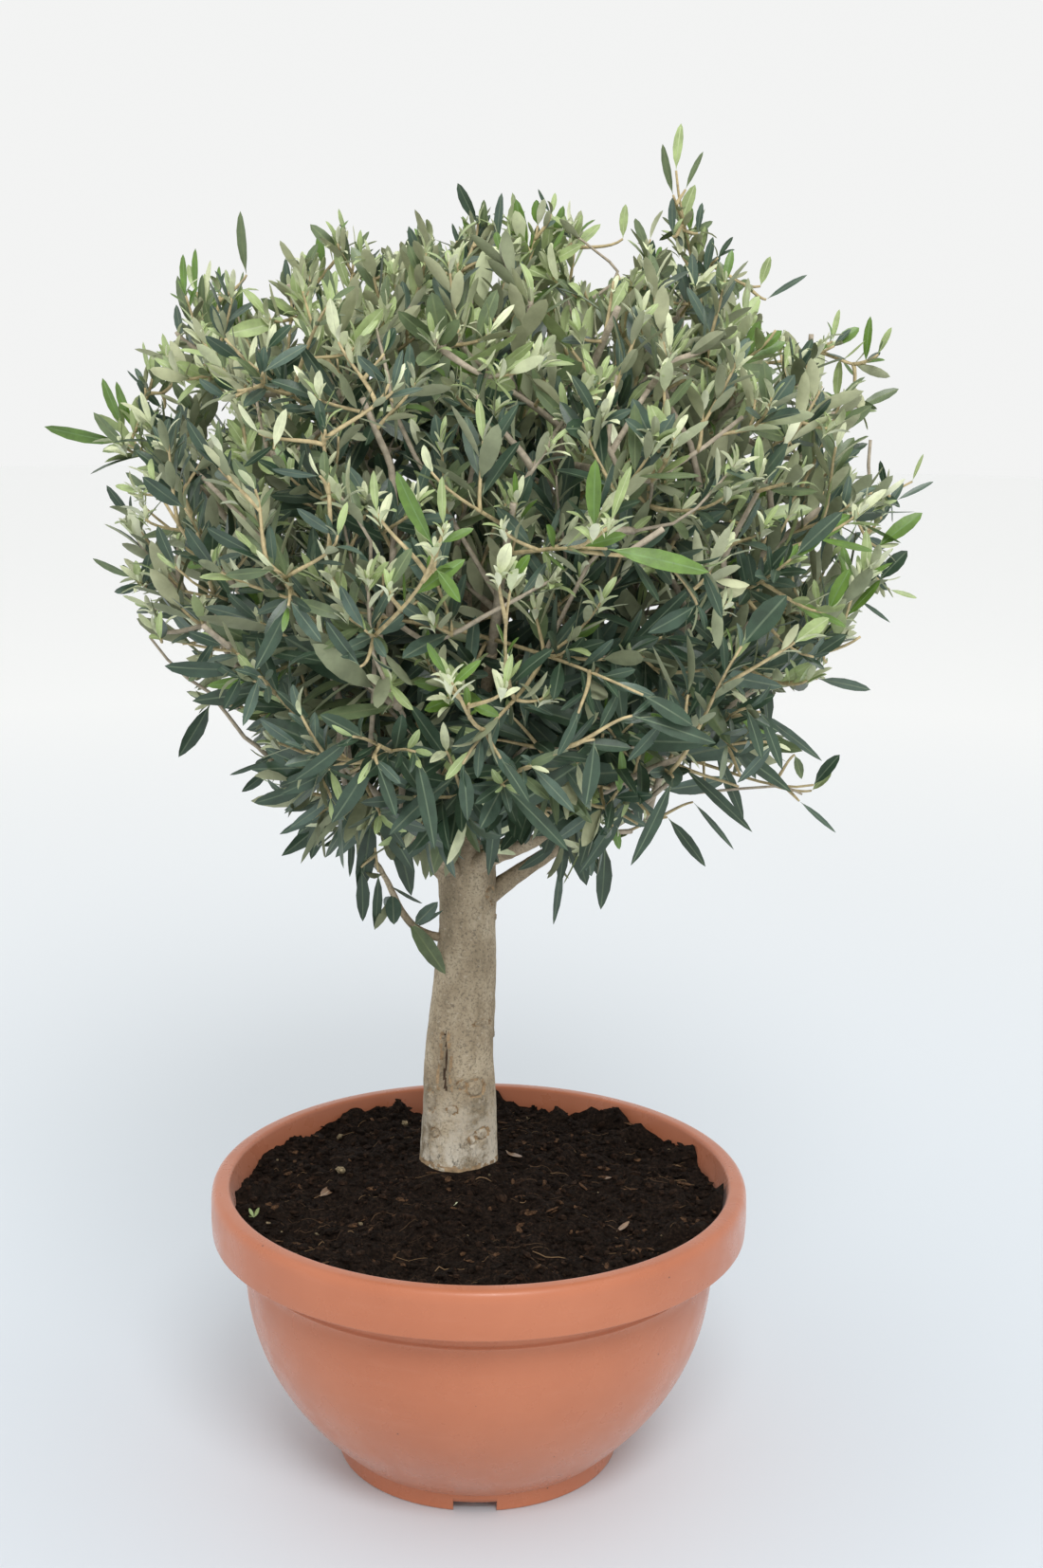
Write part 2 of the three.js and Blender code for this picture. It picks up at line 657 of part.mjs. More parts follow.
// A standing-out shoot: its twig ends one leaf short of the tip.
function shootBase(mass, end) {
  const heading = end.clone().sub(mass.site).normalize();
  return end.clone().addScaledVector(heading, -growth.shootLeaf * leaf.length);
}

// The leaf that a standing-out shoot ends in, exactly at its tip.
function endLeaf(base, end) {
  const heading = end.clone().sub(base);
  const size = heading.length() / leaf.length;
  heading.normalize();
  return leafPoints(base, heading, vector(0.3, 0.4, 0.2).cross(heading), size);
}

// ---------------------------------------------------------------- the low sprig on the trunk

// It leaves the trunk slanting up; its few leaves fan out near the tip.
function makeSprig() {
  const root = trunkCurve.getPoint((sprig.height - trunkFoot.z) / (fork.z - trunkFoot.z));
  const to = root.clone().add(vector(-sprig.reach - trunk.waistRadius, -sprig.forward, sprig.rise));
  const curve = bentCurve(root, to, vector(-1, -0.2, sprig.climb).normalize(), sprig.bend);
  const limbSolid = toSolid(limbGeometry(curve, taper(sprig.rootRadius, sprig.tipRadius), 6, 5));
  const grown = { solid: largestBody(limbSolid.subtract(toSolid(makeTrunk(gap)))) };
  for (let i = 0; i < sprig.leaves; i += 1) {
    const share = 0.55 + (0.4 * i) / (sprig.leaves - 1);
    const heading = vector(-0.3 + 0.5 * i, -0.7, 0.5 - 0.6 * i).normalize();
    const size = sprig.leafLength / leaf.length;
    const points = leafPoints(curve.getPoint(share), heading, vector(1, 0.4, 0.3), size);
    fuse(grown, leafSolid(points), twig.mostFaces);
  }
  return toGeometry(grown.solid);
}

// ---------------------------------------------------------------- the plant

const plant = new THREE.Group();

function addPart(name, geometry, material) {
  const mesh = new THREE.Mesh(geometry, material);
  mesh.name = name;
  plant.add(mesh);
}

addPart('pot', makePot(), terracotta);
addPart('soil', makeSoil(), peat);
addPart('trunk', makeTrunk(0), bark);
addPart('sprig', makeSprig(), bark);
makeLimbSolids().forEach((solid, i) => addPart(limbs[i].name, toGeometry(solid), bark));
limbs.forEach((limb) => {
  addPart(`mass_${limb.mass.name}`, toGeometry(growMass(limb.mass, limb)), foliage);
});

export default plant;
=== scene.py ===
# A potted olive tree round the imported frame: a moulded pot, loose soil, bark with relief, and a crown of
# twigs and leaves that grows by the same seeded rule as the solids, carried on to finer twigs.
# Lengths are in millimetres and turned to metres as each mesh is made; angles are in degrees.
import math

import bpy
import numpy as np
from mathutils import Matrix, Vector, noise


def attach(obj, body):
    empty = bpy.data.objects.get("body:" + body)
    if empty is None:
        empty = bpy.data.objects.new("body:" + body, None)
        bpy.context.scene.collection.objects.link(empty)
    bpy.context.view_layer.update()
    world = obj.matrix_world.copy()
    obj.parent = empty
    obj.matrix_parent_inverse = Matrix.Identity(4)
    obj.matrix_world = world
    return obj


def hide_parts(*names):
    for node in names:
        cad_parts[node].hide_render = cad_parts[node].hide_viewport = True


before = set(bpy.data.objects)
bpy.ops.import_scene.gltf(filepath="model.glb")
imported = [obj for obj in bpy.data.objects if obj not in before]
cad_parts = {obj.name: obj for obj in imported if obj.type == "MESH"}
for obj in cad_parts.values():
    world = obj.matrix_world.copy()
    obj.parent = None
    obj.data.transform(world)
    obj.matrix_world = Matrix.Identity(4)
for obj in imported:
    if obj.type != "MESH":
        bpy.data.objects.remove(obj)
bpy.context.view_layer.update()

MM = 0.001
UP = np.array([0.0, 0.0, 1.0])
WORD = 0xFFFFFFFF

# ---------------------------------------------------------------- driving dimensions of the solids

GAP = 0.3

POT = {
    "height": 200, "band_radius": 184.5, "band_foot": 167, "lip_radius": 172, "cove_top": 165.5,
    "cove_radius": 161.3, "cove_drop": 16, "bowl_radius": 162.3, "bowl_curve": 2.4, "wall": 3.2,
    "foot_radius": 98, "foot_height": 11.5, "foot_width": 14, "floor_rise": 5,
    "notches": 3, "notch_width": 29, "notch_height": 7, "drains": 4, "drain_radius": 6, "drain_circle": 52,
}
SOIL = {
    "edge": 184, "crown": 197, "mound_radius": 150, "flat_radius": 38, "lump": 3, "lump_span": (17, 21, 9),
}
TRUNK = {
    "foot": (-16, 30), "bow": 6, "fork_height": 446, "foot_radius": 26.5, "waist_radius": 19.6,
    "waist_share": 0.66, "taper_curve": 1.35, "fork_radius": 20.5, "flare": 1.2, "flare_share": 0.1,
    "lobes": 4, "dome_share": 0.9,
}
CROWN = {
    "centre": np.array([15.0, 5.0, 640.0]), "half": np.array([266.0, 262.0, 212.0]), "squareness": 2.4,
    "lumps": 9, "lump_gain": 0.06, "lump_width": 0.02,
}
BULGES = [
    (14, -0.1), (30, 0.05), (46, -0.11), (61, 0.08), (88, 0.03), (105, -0.06), (138, 0.12), (165, 0.05),
    (196, -0.05), (224, -0.11), (243, 0.08), (286, 0.1), (315, -0.03), (333, -0.1), (348, -0.08),
]
# Shares of a tier's sprays, each up to a limit: deep, grey, olive and fresh; the rest are young.
# The low tier's DARK shares are partly painted shade under the crown, and the upper tiers' LIGHT shares are
# partly painted light from above; the rest of the difference is their younger growth.
DARK, MIXED, LIGHT = (0.64, 0.93, 0.99, 1.0), (0.38, 0.70, 0.91, 0.95), (0.07, 0.28, 0.56, 0.65)
# A tier's leaves: their length, width as a share of it, how pointed and how hanging they are, and the length
# and pale share of the young ones at a twig's end. Its twigs: how much they climb, how much their ends turn
# up and the share that ends in buds.
UPPER = {
    "tints": LIGHT, "length": 30, "slender": 0.29, "pointed": 0.2, "hang": -0.4, "young": 19, "paling": 1.0,
    "rise": 2.2, "lift": 1.0, "buds": 1.0,
}
TIERS = [
    {"name": "low", "count": 5, "height": 520, "reach": 168, "turn": 14, "entry": 0.5, "tints": DARK,
     "length": 55, "slender": 0.215, "pointed": 0.55, "hang": 0.22, "young": 30, "paling": 0.35,
     "rise": 0.6, "lift": 0.05, "buds": 0.25},
    {"name": "middle", "count": 5, "height": 640, "reach": 182, "turn": 50, "entry": 0.58, "tints": MIXED,
     "length": 34, "slender": 0.265, "pointed": 0.3, "hang": -0.28, "young": 19, "paling": 0.85,
     "rise": 1.4, "lift": 0.7, "buds": 0.9},
    {"name": "high", "count": 4, "height": 752, "reach": 128, "turn": 20, "entry": 0.5, **UPPER},
    {"name": "top", "count": 1, "height": 775, "reach": 6, "turn": 0, "entry": 0.62, **UPPER},
]
SCATTER = {"turn": 10, "reach": 0.08, "height": 24}
BOUGH = {"root_radius": 7.6, "leader_radius": 12, "tip_radius": 3.4, "bend": 0.3, "sag": 0.06, "margin": 9}
STEM = {"radius": 3.4, "tip_radius": 1.9, "past": 45}
GROWTH = {
    "seed": 20, "tries": 14, "span": 150, "cell_margin": 1.5, "reach": 1.01, "hanging_reach": 1.03,
}
SPRIG = {
    "height": 354, "reach": 44, "forward": 14, "rise": 58, "root_radius": 2.9, "tip_radius": 1.8, "bend": 0.6,
    "climb": -0.04,
}

# ---------------------------------------------------------------- sizes of the fine pieces, light and camera

# Each mass's limbs: how many, their radii, their sag, between which shares of the way out they end, where
# their leaves start and which rind they have.
BRANCHES = {
    "count": 9, "root": 2.3, "tip": 1.3, "sag": 0.05, "from": 0.0, "to": 0.91, "leafy": 0.34, "kind": 0,
}
INNER = {
    "count": 13, "root": 1.2, "tip": 0.7, "sag": 0.05, "from": 0.12, "to": 0.66, "leafy": 0.1, "kind": 0,
}
TWIGS = {
    "count": 54, "root": 1.25, "tip": 0.75, "sag": 0.06, "from": 0.42, "to": 0.93, "leafy": 0.2, "kind": 1,
}
LEAF = {
    "spacing": 9.6, "spacing_share": 0.235, "spread": 38, "spread_range": 26, "missing": 0.08,
    "young_share": 0.72, "young_slender": 0.22, "young_tints": (0.52, 0.82), "next_tint": 0.14,
    "hang": 1.0, "hang_below": 545, "hang_range": 110, "stray": 0.16, "face_stray": 0.6,
}
BUD = {"leaves": 7, "turn": 2.4, "spread": 26, "length": 13, "step": 2.4}
STUBS = {"count": 1, "length": 26, "radius": 1.9}
POT_SIDES = 240
SOIL_MESH = (105, 330)  # rings, sides
SOIL_LEVELS = (20.0, 60, 110, 150, 165, 176)  # heights of its side, from its foot up
SURFACE = {  # each size of clods: height, span, seed
    "clods": ((4.2, 16, 3.1), (2.6, 5.5, 8.7)), "calm": 16, "collar": 3.4, "collar_span": 9,
    "rim_from": 118, "rim_over": 30, "rim_span": 26, "rim_height": 15, "rim_seed": 5.5,
}
CRUMBS = {"seed": 301, "count": 5200, "least": 0.55, "range": 2.2, "chips": 0.05, "grit": 0.006, "brown": 0.3}
FIBRES = {"seed": 302, "count": 250, "margin": 12, "rings": 7, "least": 4, "range": 24}
TRUNK_MESH, BOUGH_MESH, SPRIG_MESH = (150, 215), (22, 46), (14, 30)  # sides, rings
BOUGH_COLLAR, SPRIG_COLLAR = (4.2, 0.1), (1.5, 0.12)  # its height, and how fast it fades along the limb
TRUNK_BELOW = 0.05  # the share of itself that the trunk goes on under the soil's surface
SPRIG_SEED = 77
# The floor's far colour is paler than its near one: painted light that evens the floor out with the backdrop.
FLOOR = {"radius": 9, "near": (0.69, 0.745, 0.80), "far": (0.98, 0.985, 0.98), "span": (0.3, 2.9)}  # metres
BACKDROP = (0.895, 0.90, 0.895)
KEY_LIGHT = {"place": (0.35, -2.0, 2.5), "aim": (0, 0, 0.5), "size": 1.2, "power": 42}  # metres, watts
CAMERA = {"place": (26.2, -1415, 795), "tilt": 12.65, "roll": 0.6, "focus": 2300, "image": (1100, 1654)}

TINTS = [  # name, face, back, midrib
    ("deep", (0.035, 0.067, 0.039), (0.255, 0.285, 0.175), (0.120, 0.165, 0.105)),
    ("grey", (0.072, 0.116, 0.084), (0.360, 0.385, 0.250), (0.160, 0.205, 0.140)),
    ("olive", (0.122, 0.168, 0.078), (0.460, 0.480, 0.300), (0.180, 0.225, 0.110)),
    ("fresh", (0.118, 0.215, 0.036), (0.390, 0.470, 0.225), (0.170, 0.280, 0.095)),
    ("young", (0.350, 0.440, 0.190), (0.600, 0.650, 0.410), (0.460, 0.540, 0.290)),
    ("pale", (0.640, 0.680, 0.440), (0.730, 0.760, 0.550), (0.620, 0.660, 0.440)),
    ("dry", (0.230, 0.140, 0.085), (0.340, 0.230, 0.140), (0.380, 0.280, 0.180)),
]
DEEP, GREY, OLIVE, FRESH, YOUNG, PALE, DRY = range(len(TINTS))

# The leaves of a twig that grows outside the tiers' rule; see the tiers for the words.
SPRAY = {
    "tint": GREY, "length": 34, "slender": 0.24, "pointed": 0.4, "hang": -0.1, "young": 18, "paling": 0.8,
    "vigour": 1.0,
}

# Shoots that stand out by themselves: the end leaf's tip and root in the photograph's pixels, the share of
# the way out to the crown's front (0 at its outline, over 1 for shoots that stand out of it), the tint and
# the leaf's width as a share of its length.
SHOOTS = [
    (45, 455, 130, 467, 0, FRESH, 0.2), (104, 400, 131, 452, 0, FRESH, 0.26),
    (119, 404, 142, 455, 0, FRESH, 0.24), (133, 392, 153, 409, 0, GREY, 0.14),
    (148, 361, 160, 400, 0, YOUNG, 0.16), (183, 291, 203, 346, 0, OLIVE, 0.24),
    (183, 321, 193, 359, 0, GREY, 0.3), (190, 268, 196, 312, 0, FRESH, 0.24),
    (157, 372, 176, 412, 0, OLIVE, 0.3), (168, 352, 186, 396, 0, YOUNG, 0.24),
    (142, 402, 172, 432, 0, GREY, 0.3), (196, 340, 208, 386, 0, GREY, 0.3),
    (216, 318, 222, 366, 0, YOUNG, 0.26), (236, 312, 240, 352, 0, OLIVE, 0.3),
    (154, 440, 196, 448, 0, GREY, 0.3), (180, 404, 206, 436, 0, OLIVE, 0.36),
    (136, 430, 164, 462, 0, PALE, 0.24), (210, 290, 214, 338, 0, OLIVE, 0.22),
    (203, 262, 207, 308, 0, FRESH, 0.2), (219, 274, 217, 320, 0, PALE, 0.16),
    (229, 280, 232, 309, 0, FRESH, 0.24), (249, 223, 260, 290, 0, OLIVE, 0.2),
    (299, 273, 307, 306, 0, GREY, 0.26), (315, 276, 315, 313, 0, OLIVE, 0.3),
    (334, 246, 342, 283, 0, FRESH, 0.32), (330, 263, 335, 299, 0, PALE, 0.26),
    (355, 220, 366, 250, 0, YOUNG, 0.2), (350, 260, 370, 309, 0, YOUNG, 0.27),
    (388, 243, 375, 268, 0, OLIVE, 0.24), (395, 266, 385, 293, 0, DEEP, 0.28),
    (407, 270, 393, 296, 0, OLIVE, 0.34), (428, 240, 451, 289, 0, GREY, 0.26),
    (438, 246, 445, 276, 0, YOUNG, 0.22), (461, 253, 460, 309, 0, OLIVE, 0.24),
    (480, 194, 504, 236, 0, DEEP, 0.3), (475, 236, 488, 266, 0, GREY, 0.2),
    (526, 203, 524, 260, 0, GREY, 0.2), (541, 210, 556, 266, 0, FRESH, 0.3),
    (564, 210, 567, 238, 0, FRESH, 0.44), (564, 236, 567, 291, 0, OLIVE, 0.24),
    (566, 200, 581, 226, 0, GREY, 0.16), (578, 224, 575, 298, 0, YOUNG, 0.22),
    (592, 216, 586, 258, 0, FRESH, 0.3), (612, 226, 603, 256, 0, YOUNG, 0.3),
    (658, 215, 657, 252, 0, YOUNG, 0.3), (716, 129, 713, 180, 0, YOUNG, 0.24),
    (696, 152, 710, 206, 0, OLIVE, 0.18), (740, 158, 723, 200, 0, OLIVE, 0.16),
    (731, 193, 716, 242, 0, YOUNG, 0.3), (707, 208, 710, 249, 0, GREY, 0.24),
    (728, 218, 727, 244, 0, FRESH, 0.36), (739, 213, 736, 246, 0, GREY, 0.26),
    (772, 249, 757, 272, 0, DEEP, 0.24), (759, 268, 737, 298, 0, DEEP, 0.3),
    (811, 270, 802, 302, 0, YOUNG, 0.34), (850, 288, 808, 316, 0, GREY, 0.14),
    (884, 325, 878, 360, 0, YOUNG, 0.2), (906, 344, 880, 365, 0, FRESH, 0.42),
    (916, 333, 913, 383, 0, FRESH, 0.2), (939, 345, 926, 374, 0, YOUNG, 0.24),
    (948, 408, 905, 430, 0, OLIVE, 0.26), (915, 466, 872, 486, 0, DEEP, 0.24),
    (973, 478, 962, 508, 0, YOUNG, 0.14), (927, 487, 935, 518, 0, DEEP, 0.24),
    (985, 506, 945, 528, 0, GREY, 0.14), (972, 539, 925, 577, 0, FRESH, 0.3),
    (956, 580, 927, 612, 0, DEEP, 0.42), (968, 630, 938, 622, 0, YOUNG, 0.18),
    (930, 637, 890, 661, 0, FRESH, 0.24), (941, 656, 906, 633, 0, GREY, 0.12),
    (920, 726, 862, 716, 0, GREY, 0.2), (884, 796, 858, 828, 0, DEEP, 0.32),
    (876, 815, 856, 834, 0, YOUNG, 0.3), (884, 878, 843, 845, 0, GREY, 0.12),
    (872, 802, 795, 748, 0.5, GREY, 0.12), (840, 835, 759, 780, 0.8, DEEP, 0.17),
    (798, 877, 719, 808, 0.8, DEEP, 0.13), (789, 866, 753, 790, 0.7, DEEP, 0.17),
    (190, 802, 222, 742, 0, DEEP, 0.28), (95, 592, 143, 610, 0, OLIVE, 0.2),
    (110, 514, 140, 547, 0, DEEP, 0.3), (121, 626, 150, 616, 0, GREY, 0.36),
    (242, 821, 283, 801, 0.4, GREY, 0.14), (256, 837, 284, 812, 0.4, DEEP, 0.34),
    (382, 947, 392, 860, 0.55, DEEP, 0.25), (398, 984, 399, 920, 0.4, DEEP, 0.17),
    (299, 908, 363, 847, 0.8, DEEP, 0.25), (371, 927, 371, 870, 0.3, DEEP, 0.14),
    (463, 898, 438, 793, 0.95, DEEP, 0.18), (519, 927, 524, 834, 0.8, DEEP, 0.18),
    (548, 921, 590, 888, 0.6, DEEP, 0.26), (587, 978, 592, 905, 0.5, GREY, 0.13),
    (637, 961, 638, 890, 0.7, DEEP, 0.27), (615, 927, 664, 839, 0.85, DEEP, 0.19),
    (604, 898, 532, 829, 0.95, DEEP, 0.18), (670, 918, 710, 820, 0.9, DEEP, 0.17),
    (747, 914, 704, 862, 0.8, DEEP, 0.2), (777, 896, 731, 846, 0.7, GREY, 0.1),
    (437, 946, 414, 866, 0.6, DEEP, 0.26), (751, 600, 640, 579, 0.99, FRESH, 0.2),
    (609, 857, 560, 808, 0.96, GREY, 0.22), (621, 854, 627, 780, 0.97, DEEP, 0.28),
    (163, 556, 185, 598, 0.9, DEEP, 0.36), (192, 558, 228, 601, 0.95, DEEP, 0.36),
    (237, 610, 289, 601, 0.95, OLIVE, 0.3), (215, 560, 273, 586, 0.96, DEEP, 0.3),
    (311, 539, 356, 565, 0.97, GREY, 0.3), (271, 710, 304, 639, 0.97, DEEP, 0.24),
    (173, 708, 256, 706, 0.9, DEEP, 0.28), (202, 717, 228, 672, 0.9, GREY, 0.2),
    (197, 669, 238, 681, 0.92, DEEP, 0.36), (258, 767, 273, 714, 0.95, GREY, 0.24),
    (237, 750, 254, 714, 0.92, DEEP, 0.34), (271, 762, 322, 791, 0.97, GREY, 0.3),
    (278, 793, 328, 810, 0.96, DEEP, 0.38), (306, 722, 318, 755, 0.97, GREY, 0.4),
    (356, 620, 385, 665, 0.98, GREY, 0.3), (341, 658, 380, 703, 0.98, DEEP, 0.33),
    (215, 357, 257, 381, 0.96, DEEP, 0.34), (323, 361, 277, 393, 0.97, GREY, 0.25),
    (306, 341, 281, 369, 0.97, DEEP, 0.34), (220, 321, 237, 357, 0.95, DEEP, 0.36),
    (335, 391, 337, 421, 0.98, PALE, 0.42), (249, 427, 273, 457, 0.98, PALE, 0.24),
    (299, 431, 289, 473, 0.98, PALE, 0.32), (333, 421, 343, 453, 0.98, DEEP, 0.46),
    (285, 498, 337, 502, 0.98, GREY, 0.2), (243, 485, 269, 516, 0.97, OLIVE, 0.42),
    (193, 445, 231, 494, 0.95, DEEP, 0.3), (227, 443, 235, 486, 0.96, OLIVE, 0.22),
    (148, 506, 195, 536, 0.9, DEEP, 0.4), (375, 377, 410, 405, 0.98, GREY, 0.34),
    (422, 369, 414, 413, 0.98, GREY, 0.22), (345, 315, 357, 361, 0.98, PALE, 0.36),
    (415, 345, 405, 373, 0.98, DEEP, 0.5), (445, 470, 455, 498, 0.98, PALE, 0.4),
    (765, 653, 740, 598, 0.98, DEEP, 0.25), (685, 671, 735, 638, 0.98, DEEP, 0.38),
    (827, 627, 782, 682, 0.98, DEEP, 0.4), (887, 538, 838, 587, 0.96, DEEP, 0.28),
    (894, 600, 873, 645, 0.95, FRESH, 0.32), (873, 651, 838, 678, 0.96, YOUNG, 0.4),
    (891, 669, 858, 693, 0.9, DEEP, 0.34), (733, 764, 678, 733, 0.98, DEEP, 0.32),
    (758, 782, 667, 755, 0.98, DEEP, 0.2), (807, 802, 787, 747, 0.9, DEEP, 0.25),
    (829, 813, 802, 751, 0.9, DEEP, 0.2), (780, 829, 816, 784, 0.9, GREY, 0.26),
    (312, 828, 372, 777, 0.98, DEEP, 0.26), (352, 873, 393, 800, 0.96, DEEP, 0.28),
    (385, 974, 381, 915, 0.5, DEEP, 0.26), (330, 909, 342, 850, 0.9, DEEP, 0.28),
    (268, 852, 330, 826, 0.9, DEEP, 0.3), (306, 877, 349, 842, 0.92, GREY, 0.26),
    (296, 842, 348, 812, 0.95, DEEP, 0.3), (420, 862, 398, 806, 0.98, DEEP, 0.26),
    (496, 868, 488, 806, 0.98, DEEP, 0.28), (560, 846, 528, 800, 0.97, DEEP, 0.26),
    (664, 806, 700, 760, 0.97, DEEP, 0.28), (590, 800, 610, 752, 0.98, DEEP, 0.26),
    (413, 500, 458, 578, 1.06, FRESH, 0.24), (463, 503, 468, 556, 1.06, YOUNG, 0.22),
    (624, 486, 627, 560, 1.06, FRESH, 0.26), (663, 490, 644, 553, 1.04, YOUNG, 0.18),
    (557, 585, 541, 611, 1.07, FRESH, 0.36), (536, 573, 526, 607, 1.08, PALE, 0.46),
    (487, 635, 460, 600, 1.0, FRESH, 0.34), (448, 679, 472, 713, 1.05, FRESH, 0.3),
    (506, 695, 475, 725, 1.03, FRESH, 0.26), (526, 754, 495, 742, 1.0, FRESH, 0.36),
    (391, 496, 398, 542, 1.05, YOUNG, 0.24), (432, 577, 410, 621, 1.04, OLIVE, 0.34),
    (499, 556, 465, 573, 1.0, FRESH, 0.28), (538, 690, 532, 728, 1.08, YOUNG, 0.26),
    (847, 822, 838, 796, 0.3, OLIVE, 0.4), (508, 210, 512, 250, 0, OLIVE, 0.26),
    (742, 238, 736, 276, 0, YOUNG, 0.28), (750, 250, 744, 290, 0, GREY, 0.26),
    (299, 274, 304, 312, 0, OLIVE, 0.28), (378, 242, 380, 280, 0, YOUNG, 0.22),
    (936, 520, 918, 552, 0, YOUNG, 0.3), (952, 508, 930, 545, 0, GREY, 0.22),
    (908, 560, 884, 580, 0, GREY, 0.3), (884, 380, 882, 424, 0, YOUNG, 0.24),
    (224, 400, 250, 412, 0.97, DEEP, 0.4), (209, 402, 240, 420, 0.97, GREY, 0.34),
    (357, 352, 349, 318, 0.98, OLIVE, 0.4),
]

# The sprig's lowest leaves: the share of the sprig that each leaves at, its tip's pixel in the photograph,
# its tint and slenderness.
SPRIG_LEAVES = [
    (0.36, (460, 954), GREY, 0.34), (0.34, (465, 962), DEEP, 0.12), (0.44, (471, 1027), OLIVE, 0.27),
    (0.7, (416, 974), GREY, 0.5),
]

# Where the sky shows between the crown's sprays: spots and their radii in the photograph's pixels.
SKY = [
    (205, 612, 13), (160, 705, 30), (222, 780, 38), (172, 765, 36), (228, 838, 34), (268, 880, 26),
    (160, 830, 40), (728, 890, 44), (690, 905, 30), (770, 870, 40), (752, 808, 16), (858, 752, 30),
    (905, 708, 34), (820, 850, 30), (920, 655, 18), (648, 262, 26), (630, 290, 15), (612, 275, 14),
    (822, 322, 24), (850, 338, 22), (880, 400, 14), (174, 540, 20), (490, 948, 30), (436, 968, 14),
    (545, 940, 18), (553, 916, 22), (532, 924, 14), (235, 690, 11), (196, 660, 10), (252, 735, 10),
    (852, 600, 9), (832, 560, 9), (868, 560, 9), (800, 640, 12), (725, 830, 16), (700, 850, 15),
    (792, 838, 14), (640, 900, 12), (268, 262, 26), (160, 330, 30), (680, 170, 44), (650, 925, 14),
    (570, 935, 12), (412, 243, 17), (470, 236, 17), (322, 248, 12), (822, 752, 13), (800, 786, 9),
    (845, 786, 9), (150, 668, 12), (690, 240, 12),
]

# Branches that show between the leaves: their share of the way out to the crown's front, their thickness at
# the root, whether they end in a pruned stub, and their course from the root on in the photograph's pixels.
BRANCHES_SEEN = [
    (0.9, 1.9, False, 544, 527, 598, 438, 614, 415), (0.84, 2.5, False, 637, 486, 681, 415, 719, 362),
    (0.86, 1.6, True, 642, 483, 645, 430, 651, 396), (0.86, 1.6, True, 667, 512, 730, 480, 783, 440),
    (0.9, 1.4, False, 641, 571, 719, 548, 777, 489), (0.88, 2.3, False, 762, 597, 795, 527, 845, 441),
    (0.7, 2.4, False, 731, 477, 704, 423, 698, 380), (0.4, 1.4, True, 847, 440, 880, 436, 906, 427),
    (0.5, 3.0, True, 716, 345, 720, 318, 732, 292), (0.5, 2.3, True, 704, 340, 700, 322, 698, 303),
    (0.7, 1.3, False, 615, 386, 603, 334, 594, 296), (0.2, 1.3, True, 915, 509, 916, 488, 918, 464),
    (0.3, 1.2, False, 652, 290, 626, 263, 596, 241), (0.9, 1.5, False, 289, 488, 276, 452, 267, 398),
    (0.9, 1.6, False, 418, 440, 408, 392, 394, 336), (0.93, 2.1, True, 414, 500, 398, 458, 382, 420),
    (0.93, 1.6, False, 395, 700, 387, 621, 391, 571, 356, 520),
    (0.8, 1.7, True, 504, 345, 496, 325, 487, 303),
    (0.84, 2.3, False, 339, 664, 292, 588, 230, 520, 176, 469),
    (0.6, 1.9, False, 304, 741, 262, 700, 228, 662, 188, 624, 160, 592, 135, 553),
    (0.6, 1.5, False, 304, 741, 262, 700, 228, 662, 192, 650, 156, 640),
    (0.6, 1.5, True, 304, 741, 262, 700, 228, 662, 229, 625, 233, 597),
    (0.3, 1.7, False, 277, 792, 255, 775, 225, 734, 188, 708, 158, 672),
    (0.95, 1.8, False, 534, 571, 551, 515, 582, 466), (0.95, 1.9, False, 455, 676, 520, 645, 582, 612),
    (0.96, 1.7, False, 426, 770, 417, 739, 393, 688, 388, 610),
    (0.92, 2.1, True, 392, 860, 379, 847, 358, 803, 359, 760),
    (0.8, 2.6, False, 697, 817, 733, 781, 771, 744, 846, 694),
    (0.9, 1.5, False, 548, 790, 621, 793, 734, 779), (0.85, 1.6, False, 551, 848, 621, 857, 668, 838),
    (0.85, 1.4, False, 650, 827, 728, 837, 823, 829, 846, 838),
]

# ---------------------------------------------------------------- small helpers


def seeded(seed):
    """A seeded stream of numbers from 0 to 1, the same on every run."""
    state = seed & WORD

    def draw():
        nonlocal state
        state = (state + 0x6D2B79F5) & WORD
        word = ((state ^ (state >> 15)) * (state | 1)) & WORD
        word ^= (word + (word ^ (word >> 7)) * (word | 61)) & WORD
        return ((word ^ (word >> 14)) & WORD) / 4294967296

    return draw


def lerp(a, b, share):
    return a + (b - a) * share


def unit(vectors):
    vectors = np.asarray(vectors, float)
    return vectors / np.maximum(np.linalg.norm(vectors, axis=-1, keepdims=True), 1e-9)


def bezier(*controls):
    """A curve as a function from shares (0 to 1) to points."""
    controls = np.array(controls, float)
    degree = len(controls) - 1

    def at(share):
        share = np.atleast_1d(np.asarray(share, float))[:, None]
        weights = [math.comb(degree, k) * share**k * (1 - share) ** (degree - k) for k in range(degree + 1)]
        return sum(weight * control for weight, control in zip(weights, controls))

    return at


def along(curve, share, step=0.004):
    """The curve's direction at shares."""
    share = np.atleast_1d(np.asarray(share, float))
    return unit(curve(np.minimum(share + step, 1)) - curve(np.maximum(share - step, 0)))


def length_of(curve):
    points = curve(np.linspace(0, 1, 20))
    return float(np.linalg.norm(np.diff(points, axis=0), axis=1).sum())


def turned(turn, climb=0.0):
    """A heading at an angle in plan, with a climb."""
    return np.array([math.cos(math.radians(turn)), math.sin(math.radians(turn)), climb])


def rough(points, span, seed, octaves=1):
    """Smooth noise from -1 to 1 at points; a feature is about span across."""
    shifted = np.asarray(points, float) / span + seed
    total = np.zeros(len(shifted))
    for octave in range(octaves):
        scale = 2.0**octave
        total += np.array([noise.noise(Vector(p * scale)) for p in shifted]) / scale
    return total


